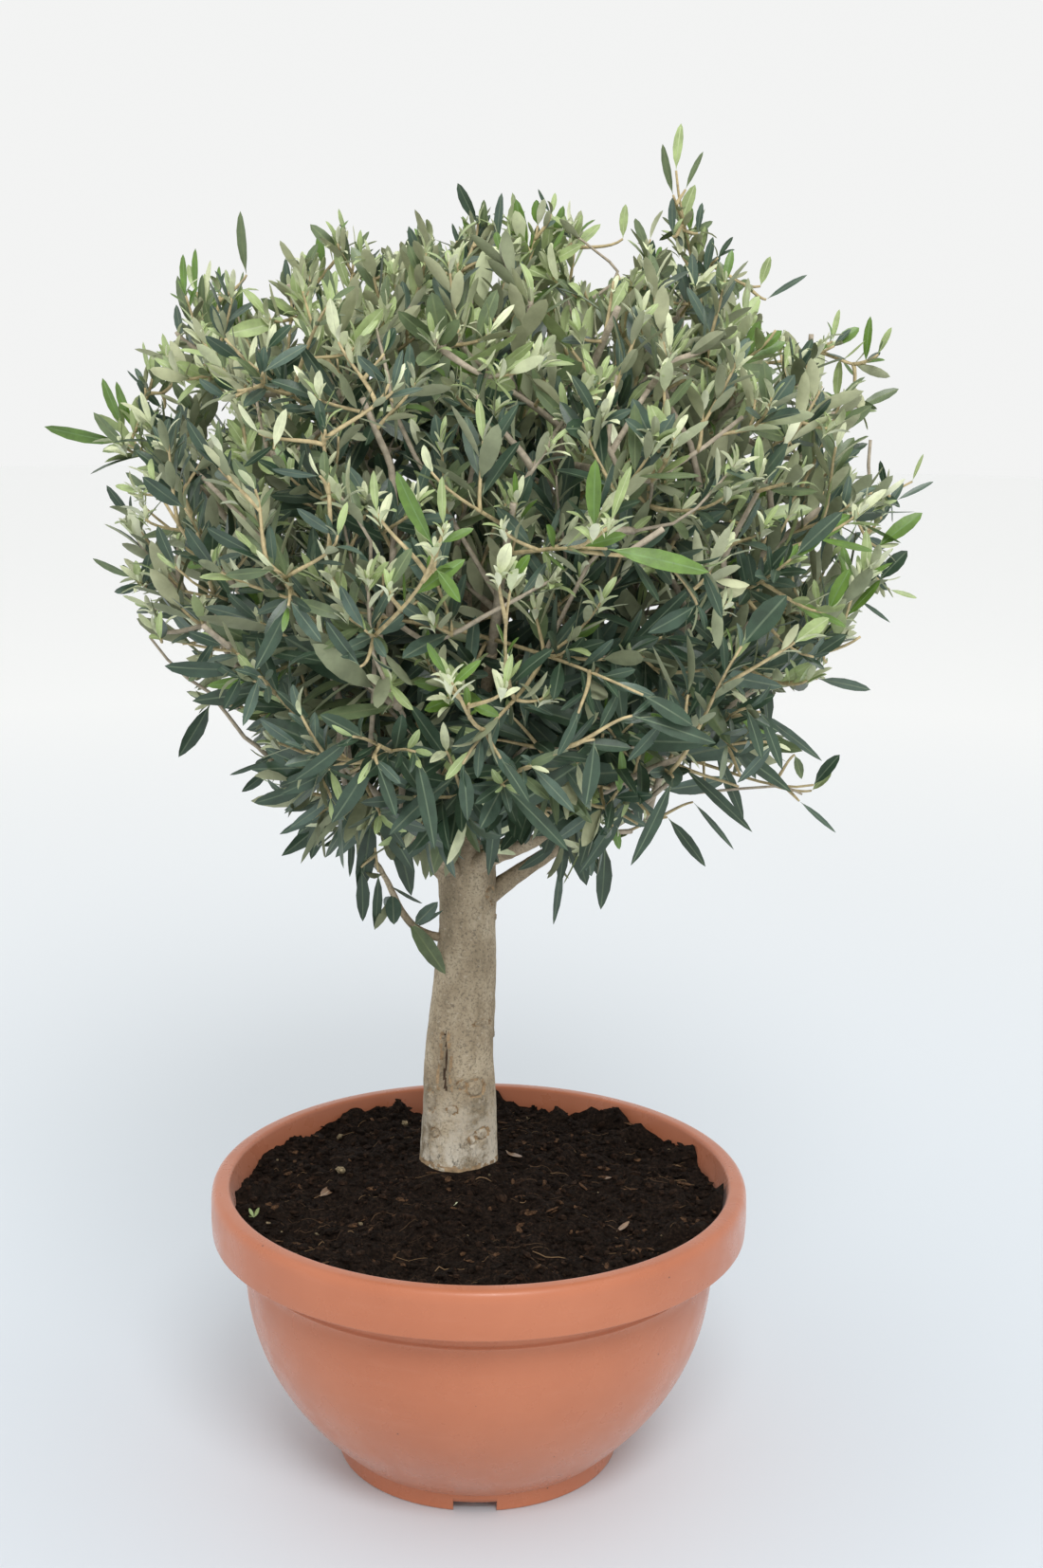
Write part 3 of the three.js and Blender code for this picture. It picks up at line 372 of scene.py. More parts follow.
def make_piece(name, points, triangles, slots, materials, sharp=None, slot=None, stands_for=()):
    """A joined mesh from arrays, in millimetres, as a piece that rides on the plant."""
    mesh = bpy.data.meshes.new(name)
    mesh.vertices.add(len(points))
    mesh.vertices.foreach_set("co", (np.asarray(points) * MM).astype(np.float32).ravel())
    triangles = np.asarray(triangles, np.int32)
    mesh.loops.add(triangles.size)
    mesh.loops.foreach_set("vertex_index", triangles.ravel())
    mesh.polygons.add(len(triangles))
    mesh.polygons.foreach_set("loop_start", np.arange(0, triangles.size, 3, dtype=np.int32))
    for material in materials:
        mesh.materials.append(material)
    mesh.polygons.foreach_set("material_index", np.broadcast_to(slots, len(triangles)).astype(np.int32))
    mesh.update(calc_edges=True)
    mesh.validate()
    mesh.shade_smooth()
    if sharp:
        mesh.set_sharp_from_angle(angle=math.radians(sharp))
    piece = bpy.data.objects.new(name, mesh)
    bpy.context.scene.collection.objects.link(piece)
    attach(piece, "root")
    if stands_for:
        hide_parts(*stands_for)
    return piece


class Mesh:
    """Gathers the parts of one joined mesh."""

    def __init__(self):
        self.points, self.triangles, self.slots, self.count = [], [], [], 0

    def add(self, points, triangles, slots=0):
        points = np.asarray(points, float).reshape(-1, 3)
        triangles = np.asarray(triangles, int).reshape(-1, 3)
        self.points.append(points)
        self.triangles.append(triangles + self.count)
        self.slots.append(np.broadcast_to(slots, len(triangles)))
        self.count += len(points)

    def piece(self, name, materials, **words):
        points, triangles = np.concatenate(self.points), np.concatenate(self.triangles)
        return make_piece(name, points, triangles, np.concatenate(self.slots), materials, **words)


def round_angles(sides):
    return np.arange(sides) * 2 * math.pi / sides


def closed_triangles(rings, sides):
    """The triangles between rings of points, and the fans that close them round the ends' middles."""
    row, column = np.meshgrid(np.arange(rings - 1), np.arange(sides), indexing="ij")
    a = (row * sides + column).ravel()
    b = (row * sides + (column + 1) % sides).ravel()
    ring = np.arange(sides)
    after = (ring + 1) % sides
    middle, top = rings * sides, (rings - 1) * sides
    return np.concatenate([
        np.stack([a, b, b + sides], 1), np.stack([a, b + sides, a + sides], 1),
        np.stack([np.full(sides, middle), after, ring], 1),
        np.stack([np.full(sides, middle + 1), top + ring, top + after], 1),
    ])


def tube_rings(centres, radii, sides):
    """Rings round many centre lines at once: centres is (limb, ring, 3), radii is (limb, ring)."""
    limbs, rings = centres.shape[:2]
    tangents = unit(np.gradient(centres, axis=1))
    side = np.where(np.abs(tangents[:, 0, 2:]) > 0.9, [[1.0, 0, 0]], [[0, 0, 1.0]])
    angles = round_angles(sides)
    cosines, sines = np.cos(angles)[None, :, None], np.sin(angles)[None, :, None]
    found = np.empty((limbs, rings, sides, 3))
    for r in range(rings):
        tangent = tangents[:, r]
        side = unit(side - tangent * (side * tangent).sum(1, keepdims=True))
        other = np.cross(tangent, side)
        offset = side[:, None] * cosines + other[:, None] * sines
        found[:, r] = centres[:, r, None] + offset * radii[:, r, None, None]
    return found


def add_tubes(mesh, centres, radii, sides, slots=0):
    """Adds many closed tapering tubes with as many rings each. slots is one slot, or one a tube."""
    limbs, rings = centres.shape[:2]
    walls = tube_rings(centres, radii, sides).reshape(limbs, rings * sides, 3)
    points = np.concatenate([walls, centres[:, :1], centres[:, -1:]], 1)
    template = closed_triangles(rings, sides)
    triangles = template[None] + (np.arange(limbs) * points.shape[1])[:, None, None]
    mesh.add(points, triangles, np.repeat(np.broadcast_to(slots, limbs), len(template)))


# ---------------------------------------------------------------- materials


def new_material(name, colour, roughness, specular):
    """A material with its shader; a number that is the same all over is set on the shader's own socket."""
    material = bpy.data.materials.new(name)
    material.use_nodes = True
    shader = material.node_tree.nodes["Principled BSDF"]
    shader.inputs["Base Color"].default_value = (*colour, 1)
    shader.inputs["Roughness"].default_value = roughness
    shader.inputs["Specular IOR Level"].default_value = specular
    return material, Nodes(material), shader


class Nodes:
    """Short ways to add the nodes that the materials share."""

    def __init__(self, material):
        self.tree = material.node_tree
        self.place = self.tree.nodes.new("ShaderNodeTexCoord").outputs["Object"]

    def link(self, out, into):
        self.tree.links.new(out, into)

    def stretched(self, scale):
        node = self.tree.nodes.new("ShaderNodeMapping")
        node.inputs["Scale"].default_value = scale
        self.link(self.place, node.inputs["Vector"])
        return node.outputs["Vector"]

    def noise(self, scale, detail, rough=0.55, place=None):
        node = self.tree.nodes.new("ShaderNodeTexNoise")
        node.inputs["Scale"].default_value = scale
        node.inputs["Detail"].default_value = detail
        node.inputs["Roughness"].default_value = rough
        self.link(place or self.place, node.inputs["Vector"])
        return node.outputs["Fac"]

    def cells(self, scale):
        node = self.tree.nodes.new("ShaderNodeTexVoronoi")
        node.inputs["Scale"].default_value = scale
        self.link(self.place, node.inputs["Vector"])
        return node.outputs["Distance"]

    def ramp(self, value, *stops):
        """A colour ramp; a stop is (place, grey or colour)."""
        node = self.tree.nodes.new("ShaderNodeValToRGB")
        elements = node.color_ramp.elements
        while len(elements) < len(stops):
            elements.new(0.5)
        for element, (place, colour) in zip(elements, stops):
            element.position = place
            element.color = (*colour, 1) if isinstance(colour, tuple) else (colour, colour, colour, 1)
        self.link(value, node.inputs["Fac"])
        return node.outputs["Color"]

    def mix(self, share, a, b, blend="MIX"):
        """Mixes two colours; each is a colour or an output."""
        node = self.tree.nodes.new("ShaderNodeMix")
        node.data_type = "RGBA"
        node.blend_type = blend
        for socket, value in ((node.inputs[0], share), (node.inputs[6], a), (node.inputs[7], b)):
            if isinstance(value, bpy.types.NodeSocket):
                self.link(value, socket)
            elif isinstance(value, tuple):
                socket.default_value = (*value, 1)
            else:
                socket.default_value = value
        return node.outputs[2]

    def span(self, value, low, high):
        """0 where value is low, 1 where it is high, even between."""
        node = self.tree.nodes.new("ShaderNodeMapRange")
        node.inputs["From Min"].default_value = low
        node.inputs["From Max"].default_value = high
        self.link(value, node.inputs["Value"])
        return node.outputs["Result"]

    def height(self):
        """How high a point lies, in metres."""
        node = self.tree.nodes.new("ShaderNodeSeparateXYZ")
        self.link(self.place, node.inputs[0])
        return node.outputs["Z"]

    def bump(self, value, distance, into, strength, after=None):
        node = self.tree.nodes.new("ShaderNodeBump")
        node.inputs["Distance"].default_value = distance
        node.inputs["Strength"].default_value = strength
        self.link(value, node.inputs["Height"])
        if after is not None:
            self.link(after, node.inputs["Normal"])
        self.link(node.outputs["Normal"], into)
        return node.outputs["Normal"]


def pot_material():
    """Matte terracotta-coloured plastic: cloudy, finely grained, with pits, scuffs and specks of soil."""
    material, nodes, shader = new_material("terracotta_plastic", (0.56, 0.2, 0.11), 0.48, 0.35)
    clouds = nodes.noise(7, 4, 0.6)
    colour = nodes.ramp(clouds, (0.3, (0.455, 0.148, 0.073)), (0.7, (0.535, 0.188, 0.097)))
    streaks = nodes.noise(6, 6, 0.7, nodes.stretched((3, 3, 22)))
    colour = nodes.mix(nodes.ramp(streaks, (0.55, 0.0), (0.8, 0.2)), colour, (0.60, 0.26, 0.17))
    pits = nodes.ramp(nodes.cells(95), (0.03, 1.0), (0.075, 0.0))
    rare = nodes.ramp(nodes.noise(31, 1, 0.5), (0.55, 0.0), (0.58, 1.0))
    specks = nodes.mix(1.0, pits, rare, "MULTIPLY")
    colour = nodes.mix(specks, colour, (0.10, 0.045, 0.028))
    nodes.link(colour, shader.inputs["Base Color"])
    nodes.link(nodes.span(nodes.noise(45, 4), 0.0, 1.6), shader.inputs["Roughness"])
    shader.inputs["Sheen Weight"].default_value = 0.14
    shader.inputs["Sheen Roughness"].default_value = 0.45
    grain = nodes.bump(nodes.noise(900, 3, 0.6), 0.00012, shader.inputs["Normal"], 0.5)
    nodes.bump(nodes.noise(14, 2, 0.4), 0.0008, shader.inputs["Normal"], 0.2, grain)
    return material


def soil_material(name, colour):
    """Crumbly compost in one of its browns, each crumb a little lighter or darker."""
    material, nodes, shader = new_material(name, colour, 0.95, 0.12)
    dark = tuple(0.25 * c for c in colour)
    light = tuple(2.5 * c for c in colour)
    tone = nodes.ramp(nodes.noise(420, 5, 0.7), (0.35, dark), (0.55, colour), (0.72, light))
    nodes.link(tone, shader.inputs["Base Color"])
    nodes.bump(nodes.noise(520, 5, 0.8), 0.003, shader.inputs["Normal"], 1.0)
    return material


def bark_material():
    """Smooth grey-beige bark: mottled, finely speckled, with a pale cracked crust near the soil."""
    material, nodes, shader = new_material("olive_bark", (0.33, 0.29, 0.22), 0.82, 0.3)
    patches = nodes.noise(38, 5, 0.65, nodes.stretched((1, 1, 0.55)))
    colour = nodes.ramp(
        patches, (0.34, (0.25, 0.20, 0.130)), (0.5, (0.43, 0.345, 0.235)), (0.66, (0.57, 0.48, 0.345))
    )
    specks = nodes.ramp(nodes.noise(560, 4, 0.7), (0.36, 0.75), (0.5, 0.0))
    colour = nodes.mix(specks, colour, (0.15, 0.125, 0.09))
    flecks = nodes.ramp(nodes.noise(330, 3, 0.6), (0.6, 0.0), (0.72, 0.55))
    colour = nodes.mix(flecks, colour, (0.66, 0.58, 0.46))
    low = nodes.span(nodes.height(), 0.262, 0.205)
    crust = nodes.ramp(nodes.noise(60, 5, 0.7), (0.42, 0.0), (0.56, 1.0))
    colour = nodes.mix(nodes.mix(1.0, low, crust, "MULTIPLY"), colour, (0.70, 0.64, 0.53))
    cracks = nodes.ramp(nodes.noise(240, 6, 0.75, nodes.stretched((1, 1, 0.6))), (0.36, 0.9), (0.46, 0.0))
    foot = nodes.span(nodes.height(), 0.255, 0.212)
    colour = nodes.mix(nodes.mix(1.0, foot, cracks, "MULTIPLY"), colour, (0.13, 0.115, 0.09))
    nodes.link(colour, shader.inputs["Base Color"])
    fine = nodes.bump(nodes.noise(700, 5, 0.7), 0.0006, shader.inputs["Normal"], 0.6)
    coarse = nodes.noise(150, 4, 0.6, nodes.stretched((1, 1, 0.4)))
    nodes.bump(coarse, 0.0012, shader.inputs["Normal"], 0.5, fine)
    return material


def skin_material(name, colour, roughness, specular, vary=0.22, scale=60):
    """A plain plant skin, such as a leaf's face or a twig's rind, with a soft change of tone."""
    material, nodes, shader = new_material(name, colour, roughness, specular)
    dark = tuple((1 - vary) * c for c in colour)
    light = tuple((1 + vary) * c for c in colour)
    nodes.link(nodes.ramp(nodes.noise(scale, 4, 0.6), (0.3, dark), (0.7, light)), shader.inputs["Base Color"])
    nodes.bump(nodes.noise(850, 3, 0.6), 0.0003, shader.inputs["Normal"], 0.35)
    return material


def leaf_materials():
    """The face, back and midrib of each tint."""
    found = []
    for name, face, back, rib in TINTS:
        found.append(skin_material(f"leaf_{name}_face", face, 0.36, 0.5, 0.28, 90))
        found.append(skin_material(f"leaf_{name}_back", back, 0.72, 0.3))
        found.append(skin_material(f"leaf_{name}_midrib", rib, 0.6, 0.35))
    return found


# ---------------------------------------------------------------- the limbs, as the solids have them


def catmull_rom(points):
    """A centripetal Catmull-Rom curve through points, as a function from shares to points."""
    points = np.array(points, float)
    count = len(points)
    padded = np.vstack([2 * points[0] - points[1], points, 2 * points[-1] - points[-2]])
    gaps = np.maximum(np.linalg.norm(np.diff(padded, axis=0), axis=1) ** 0.5, 1e-4)

    def at(share):
        place = np.atleast_1d(np.asarray(share, float)) * (count - 1)
        found = []
        for value in place:
            i = min(int(value), count - 2)
            t = value - i
            x0, x1, x2, x3 = padded[i : i + 4]
            d0, d1, d2 = gaps[i : i + 3]
            m1 = d1 * ((x1 - x0) / d0 - (x2 - x0) / (d0 + d1) + (x2 - x1) / d1)
            m2 = d1 * ((x2 - x1) / d1 - (x3 - x1) / (d1 + d2) + (x3 - x2) / d2)
            square = -3 * x1 + 3 * x2 - 2 * m1 - m2
            cube = 2 * x1 - 2 * x2 + m1 + m2
            found.append(x1 + m1 * t + square * t**2 + cube * t**3)
        return np.array(found)

    return at


FORK = np.array([TRUNK["foot"][0] + 0.5 * TRUNK["bow"], TRUNK["foot"][1], TRUNK["fork_height"]], float)
TRUNK_FOOT = np.array([*TRUNK["foot"], SOIL["crown"] + GAP])
trunk_curve = catmull_rom([
    TRUNK_FOOT,
    (TRUNK["foot"][0] + 0.2 * TRUNK["bow"], TRUNK["foot"][1] + 1, lerp(TRUNK_FOOT[2], FORK[2], 0.33)),
    (TRUNK["foot"][0] + 1.05 * TRUNK["bow"], TRUNK["foot"][1] - 1, lerp(TRUNK_FOOT[2], FORK[2], 0.7)),
    FORK,
])


def trunk_share(height):
    """The share of the trunk at which a height lies."""
    return (height - TRUNK_FOOT[2]) / (FORK[2] - TRUNK_FOOT[2])


def trunk_radius(share, angle):
    """The trunk's radius: a lobed root flare, a waist, a slight swelling under the fork and a domed top."""
    fall = np.minimum(1, share / TRUNK["waist_share"])
    body = lerp(TRUNK["foot_radius"], TRUNK["waist_radius"], fall ** TRUNK["taper_curve"])
    above = np.maximum(0, share - TRUNK["waist_share"]) / (1 - TRUNK["waist_share"])
    swell = (TRUNK["fork_radius"] - TRUNK["waist_radius"]) * above
    lobes = 0.5 + 0.5 * np.cos(TRUNK["lobes"] * angle)
    flare = TRUNK["flare"] * np.exp(-share / TRUNK["flare_share"]) * lobes
    over = np.maximum(0, share - TRUNK["dome_share"]) / (1 - TRUNK["dome_share"])
    return (body + swell + flare + 0.5 * np.cos(3 * angle + 5 * share)) * np.sqrt(1 - 0.7 * over**2)


def place_masses():
    """Where each mass sits, worked out ring by ring."""
    random = seeded(GROWTH["seed"])
    placed = []
    for tier in TIERS:
        for i in range(tier["count"]):
            turn = tier["turn"] + 360 * i / tier["count"] + SCATTER["turn"] * (random() - 0.5)
            reach = tier["reach"] * (1 + SCATTER["reach"] * (random() - 0.5))
            height = tier["height"] + SCATTER["height"] * (random() - 0.5)
            site = reach * turned(turn) + [CROWN["centre"][0], CROWN["centre"][1], height]
            seed = GROWTH["seed"] + 100 * len(placed) + 7
            name = f"{tier['name']}_{i + 1}"
            placed.append({"name": name, "tier": tier, "turn": turn, "site": site, "seed": seed})
    return placed


masses = place_masses()
SITES = np.array([mass["site"] for mass in masses])


def in_cell(index, points, margin):
    """Which points are nearer to a mass's site than to any other, by a margin."""
    points = np.atleast_2d(points)
    others = np.delete(SITES, index, 0)
    across = others - SITES[index]
    middle = (others + SITES[index]) / 2
    off = np.einsum("pok,ok->po", points[:, None] - middle[None], unit(across))
    return (off < -margin).all(1)


def grow_limbs():
    """The leader, then each tier's boughs, each a curve that ends in its own mass's space."""
    grown = {}

    def add_tier(name, parent, first, step, climb):
        chosen = [i for i, mass in enumerate(masses) if mass["tier"]["name"] == name]
        for order, index in enumerate(chosen):
            mass = masses[index]
            start = parent([first + step * order])[0]
            share = mass["tier"]["entry"]
            while share < 0.95 and not in_cell(index, lerp(start, mass["site"], share), BOUGH["margin"])[0]:
                share += 0.02
            end = lerp(start, mass["site"], share)
            heading = UP if climb is None else unit(turned(mass["turn"], climb))
            grown[index] = bent(start, end, heading, BOUGH["bend"])

    add_tier("top", trunk_curve, 0.96, 0, None)
    add_tier("middle", trunk_curve, 0.9, 0.015, 1.1)
    add_tier("low", trunk_curve, 0.70, 0.03, 1)
    add_tier("high", next(iter(grown.values())), 0.3, 0.1, 1.1)
    return grown


def bent(start, end, heading, bend):
    """A limb's curve: it leaves its parent along a heading, sags a little and turns up towards its tip."""
    span = np.linalg.norm(end - start)
    return bezier(start, start + heading * bend * span, lerp(end, start, 0.3) - UP * BOUGH["sag"] * span, end)


limbs = grow_limbs()


def place_lumps():
    """The named bulges of the crown's outline, and seeded ones at the front and the back."""
    random = seeded(GROWTH["seed"] + 1)
    placed = []
    for turn, gain in BULGES:
        across, upward, _ = turned(turn)
        placed.append((np.array([across, 0, upward]), gain))
    for i in range(CROWN["lumps"]):
        turn = (40 if i % 2 else 220) + 100 * random()
        rise = 120 * random() - 50
        heading = np.append(turned(turn)[:2] * math.cos(math.radians(rise)), math.sin(math.radians(rise)))
        placed.append((heading, CROWN["lump_gain"] * (2 * random() - 1)))
    return placed


lumps = place_lumps()


def outness(points):
    """How far out points lie: 0 at the crown's centre, 1 on its lumpy outline."""
    away = np.atleast_2d(points) - CROWN["centre"]
    total = (np.abs(away / CROWN["half"]) ** CROWN["squareness"]).sum(1) ** (1 / CROWN["squareness"])
    heading = unit(away)
    swell = 1 + sum(gain * np.exp(-(1 - heading @ lump) / CROWN["lump_width"]) for lump, gain in lumps)
    return total / swell


# ---------------------------------------------------------------- the fine growth of the masses


class Growth:
    """What has grown so far: twigs as curves with radii, and leaves as rows of numbers."""

    def __init__(self):
        self.twigs, self.leaves, self.fixed = [], [], []

    def twig(self, curve, root, tip, kind):
        self.twigs.append((curve, root, tip, kind))

    def leaf(self, root, heading, face, length, width, tint, curl, fold, pointed):
        self.leaves.append((root, heading, face, length, width, tint, curl, fold, pointed))


def any_heading(random):
    rise = 2 * random() - 1
    turn = 2 * math.pi * random()
    flat = math.sqrt(1 - rise * rise)
    return np.array([flat * math.cos(turn), flat * math.sin(turn), rise])


def sideways(ahead, turn):
    """A heading square to another, at an angle round it."""
    side = unit(np.cross(UP, ahead)) if abs(ahead[2]) < 0.95 else np.array([1.0, 0, 0])
    return side * math.cos(turn) + np.cross(ahead, side) * math.sin(turn)


def next_target(index, taken, random, kind):
    """The next place a mass grows a twig to: of several tries in its cell, the one with the most room."""
    tries = []
    for _ in range(GROWTH["tries"]):
        heading = any_heading(random)
        tries.append(masses[index]["site"] + heading * GROWTH["span"] * random() ** (1 / 3))
    tries = np.array(tries)
    out = outness(tries)
    fits = (out < kind["to"]) & (out > kind["from"]) & in_cell(index, tries, 2) & ~in_sky(tries)
    if not fits.any():
        return None
    tries, out = tries[fits], out[fits]
    room = np.linalg.norm(tries[:, None] - np.array(taken)[None], axis=2).min(1) * (0.6 + 0.4 * out)
    return tries[int(room.argmax())]


def best_joint(joints, target, rise=0.9):
    """The joint that a twig to a target grows from: near it, and so that the twig runs outward and up."""
    points = np.array([point for point, _ in joints])
    off = target - points
    distance = np.linalg.norm(off, axis=1)
    lift = unit(unit(target - CROWN["centre"]) + rise * UP)
    cost = distance * (1.5 - unit(off) @ lift)
    return joints[int(cost.argmin())]


def joints_on(curve, shares):
    """The joints that twigs can grow from: points of a curve, with its heading there."""
    return zip(curve(shares), along(curve, shares))


def twig_curve(joint, target, sag, ending):
    """A nearly straight twig: it starts along its parent, sags a little and ends turned towards a heading."""
    point, heading = joint
    span = np.linalg.norm(target - point)
    ahead = unit(target - point)
    start, end = unit(0.35 * heading + ahead), unit(ahead + ending)
    leaving = point + start * 0.33 * span - UP * sag * span
    return bezier(point - 0.5 * start, leaving, target - end * 0.3 * span, target)


def leaves_along(growth, curve, first, spray, random):
    """Pairs of leaves along a twig, each pair a quarter turn from the last, smaller and paler to the tip."""
    spacing = max(LEAF["spacing"], LEAF["spacing_share"] * spray["length"])
    pairs = max(1, round(length_of(curve) * (1 - first) / spacing))
    shares = np.linspace(first, 0.97, pairs + 1)
    turn = math.pi * random()
    for share, ahead, root in zip(shares, along(curve, shares), curve(shares)):
        turn += math.pi / 2 + 0.5 * (random() - 0.5)
        age = max(0.0, (share - LEAF["young_share"]) / (1 - LEAF["young_share"]))
        low = min(1, max(0, (LEAF["hang_below"] - root[2]) / LEAF["hang_range"]))
        hang = LEAF["hang"] * low + spray["hang"]
        for k in range(2):
            draws = [random() for _ in range(8)]
            if draws[0] < LEAF["missing"]:
                continue
            outward = sideways(ahead, turn + math.pi * k)
            spread = LEAF["spread"] + LEAF["spread_range"] * (draws[1] - 0.5)
            spread = math.radians(spread * (1 - 0.65 * age))
            heading = ahead * math.cos(spread) + outward * math.sin(spread) - UP * min(hang, hang * (1 - age))
            heading = unit(heading + LEAF["stray"] * any_heading(random))
            shown = max(0, hang) * unit(root - CROWN["centre"])
            face = ahead - 0.4 * outward + 0.3 * UP + 1.3 * shown
            face = unit(face + LEAF["face_stray"] * any_heading(random))
            vigour = spray["vigour"] * (0.74 + 0.44 * draws[2])
            long = vigour * lerp(spray["length"], spray["young"], age)
            wide = long * lerp(spray["slender"], LEAF["young_slender"], age) * (0.82 + 0.36 * draws[3])
            tint = spray["tint"]
            if age > 0.5 and draws[7] < spray["paling"]:
                tint = (YOUNG, PALE, FRESH)[sum(draws[4] >= limit for limit in LEAF["young_tints"])]
            elif draws[4] < LEAF["next_tint"]:
                tint = (tint + 1) % FRESH
            curl = 34 * draws[5] - 8 + 60 * age * draws[6]
            growth.leaf(root, heading, face, long, wide, tint, curl, 26 * draws[7] - 6, spray["pointed"])


def add_bud(growth, curve, random):
    """The end of a shoot: small pale leaves that stand up round it, some of them curled."""
    root, ahead = curve([1.0])[0], along(curve, [1.0])[0]
    ahead = unit(ahead + 0.9 * UP)
    turn = 2 * math.pi * random()
    for i in range(BUD["leaves"]):
        turn += BUD["turn"]
        outward = sideways(ahead, turn)
        spread = math.radians(lerp(BUD["spread"], 8, i / BUD["leaves"]))
        heading = unit(ahead * math.cos(spread) + outward * math.sin(spread) + 0.15 * any_heading(random))
        long = BUD["length"] * (0.55 + 0.9 * random()) * lerp(1.25, 0.6, i / BUD["leaves"])
        face = unit(0.4 * ahead - outward + 0.5 * any_heading(random))
        tint = YOUNG if random() < 0.45 else PALE
        base = root - ahead * (BUD["step"] * (BUD["leaves"] - i) * 0.5)
        growth.leaf(base, heading, face, long, 0.27 * long, tint, 20 + 90 * random() ** 2, 28 * random(), 0.2)


def trimmed(leaves):
    """The leaves without those that reach past the crown's outline or into the sky, some a size smaller."""
    kept = []
    roots = np.array([leaf[0] for leaf in leaves])
    reach = np.array([leaf[1] * leaf[3] for leaf in leaves])
    lows = np.array([leaf[1][2] < -0.5 for leaf in leaves])
    limit = np.where(lows, GROWTH["hanging_reach"], GROWTH["reach"])
    over = (outness(roots + reach) > limit) | in_sky(roots + reach)
    smaller = roots + 0.7 * reach
    still = (outness(smaller) > limit) | in_sky(smaller) | in_sky(roots) | (lows & over)
    for leaf, big, gone in zip(leaves, over, still):
        if gone:
            continue
        if big:
            leaf = (*leaf[:3], 0.7 * leaf[3], 0.8 * leaf[4], *leaf[5:])
        kept.append(leaf)
    return kept


def seen_at(pixel, depth):
    """The point at a depth (its Y) that lies behind a pixel of the photograph."""
    across, upward, ahead = camera_axes()
    sideway = (pixel[0] - CAMERA["image"][0] / 2) / CAMERA["focus"]
    fall = (pixel[1] - CAMERA["image"][1] / 2) / CAMERA["focus"]
    ray = np.array(ahead + across * sideway - upward * fall)
    place = np.array(CAMERA["place"], float)
    return place + ray * (depth - place[1]) / ray[1]


def pixels_of(points):
    """Where points lie in the photograph."""
    across, upward, ahead = (np.array(axis) for axis in camera_axes())
    off = np.atleast_2d(points) - CAMERA["place"]
    scale = CAMERA["focus"] / (off @ ahead)
    middle = np.array(CAMERA["image"]) / 2
    return np.stack([middle[0] + off @ across * scale, middle[1] - off @ upward * scale], 1)


def in_sky(points):
    """Which points lie where the sky shows."""
    seen = pixels_of(points)
    return np.any([np.hypot(*(seen - (x, y)).T) < radius for x, y, radius in SKY], axis=0)


def on_front(pixel, share):
    """The point behind a pixel at a share of the way out to the crown's front."""
    point = seen_at(pixel, 0)
    for _ in range(4):
        off = np.abs((point - CROWN["centre"]) / CROWN["half"]) ** CROWN["squareness"]
        left = max(0.0, share ** CROWN["squareness"] - off[0] - off[2]) ** (1 / CROWN["squareness"])
        point = seen_at(pixel, CROWN["centre"][1] - CROWN["half"][1] * left)
    return point


def grow_seen(growth, index, joints, random):
    """The shoots that stand out of the crown and the bare branches that show, each from the nearest joint."""

    def mine(point):
        return int(np.linalg.norm(SITES - point, axis=1).argmin()) == index

    for *pixels, share, tint, slender in SHOOTS:
        tip_pixel, root_pixel = pixels[:2], pixels[2:]
        depth = on_front(root_pixel, share)[1] if share else 40 * random() - 20
        root = seen_at(root_pixel, depth)
        tip = seen_at(tip_pixel, depth + 12 * random() - 8)
        if not mine(root):
            continue
        ahead = unit(tip - root)
        hanging = ahead[2] < -0.5
        curve = twig_curve(best_joint(joints, root), root, 0.05, (0.3 if hanging else 0.7) * ahead)
        growth.twig(curve, TWIGS["root"] * 1.1, TWIGS["tip"], 1)
        face = unit(np.cross(ahead, [0.25, 1, 0.15]) + [0, -1.8, 0])
        long = float(np.linalg.norm(tip - root))
        leaf = (root, ahead, face, long, slender * long, tint, 12.0, 8.0, 1.0 if hanging else 0.4)
        growth.fixed.append(leaf)
        spray = {
            **SPRAY, "tint": tint if tint < YOUNG else OLIVE, "length": min(32, 0.8 * long), "pointed": 0.35,
            "slender": 0.27, "hang": 0.3 if hanging else -0.2, "paling": 0.6,
        }
        leaves_along(growth, curve, 0.45, spray, random)
        if share > 1:
            tuft = Growth()
            add_bud(tuft, curve, random)
            growth.fixed.extend(tuft.leaves)
        joints.extend(joints_on(curve, [0.4, 0.7]))
    for share, thick, stub, *course in BRANCHES_SEEN:
        pixels = list(zip(course[::2], course[1::2]))
        depths = share * np.minimum(1, 0.8 + 0.06 * np.arange(len(pixels)))
        points = [on_front(pixel, depth) for pixel, depth in zip(pixels, depths)]
        if not mine(points[0]):
            continue
        point, _ = best_joint(joints, points[0])
        curve = catmull_rom([point, *points])
        growth.twig(curve, thick, (0.85 if stub else 0.5) * thick, 0)
        joints.extend(joints_on(curve, [0.45, 0.7, 0.85]))
        if not stub:
            spray = {**SPRAY, "length": masses[index]["tier"]["length"], "vigour": 0.9}
            leaves_along(growth, curve, 0.82, spray, random)
            add_bud(growth, curve, random)


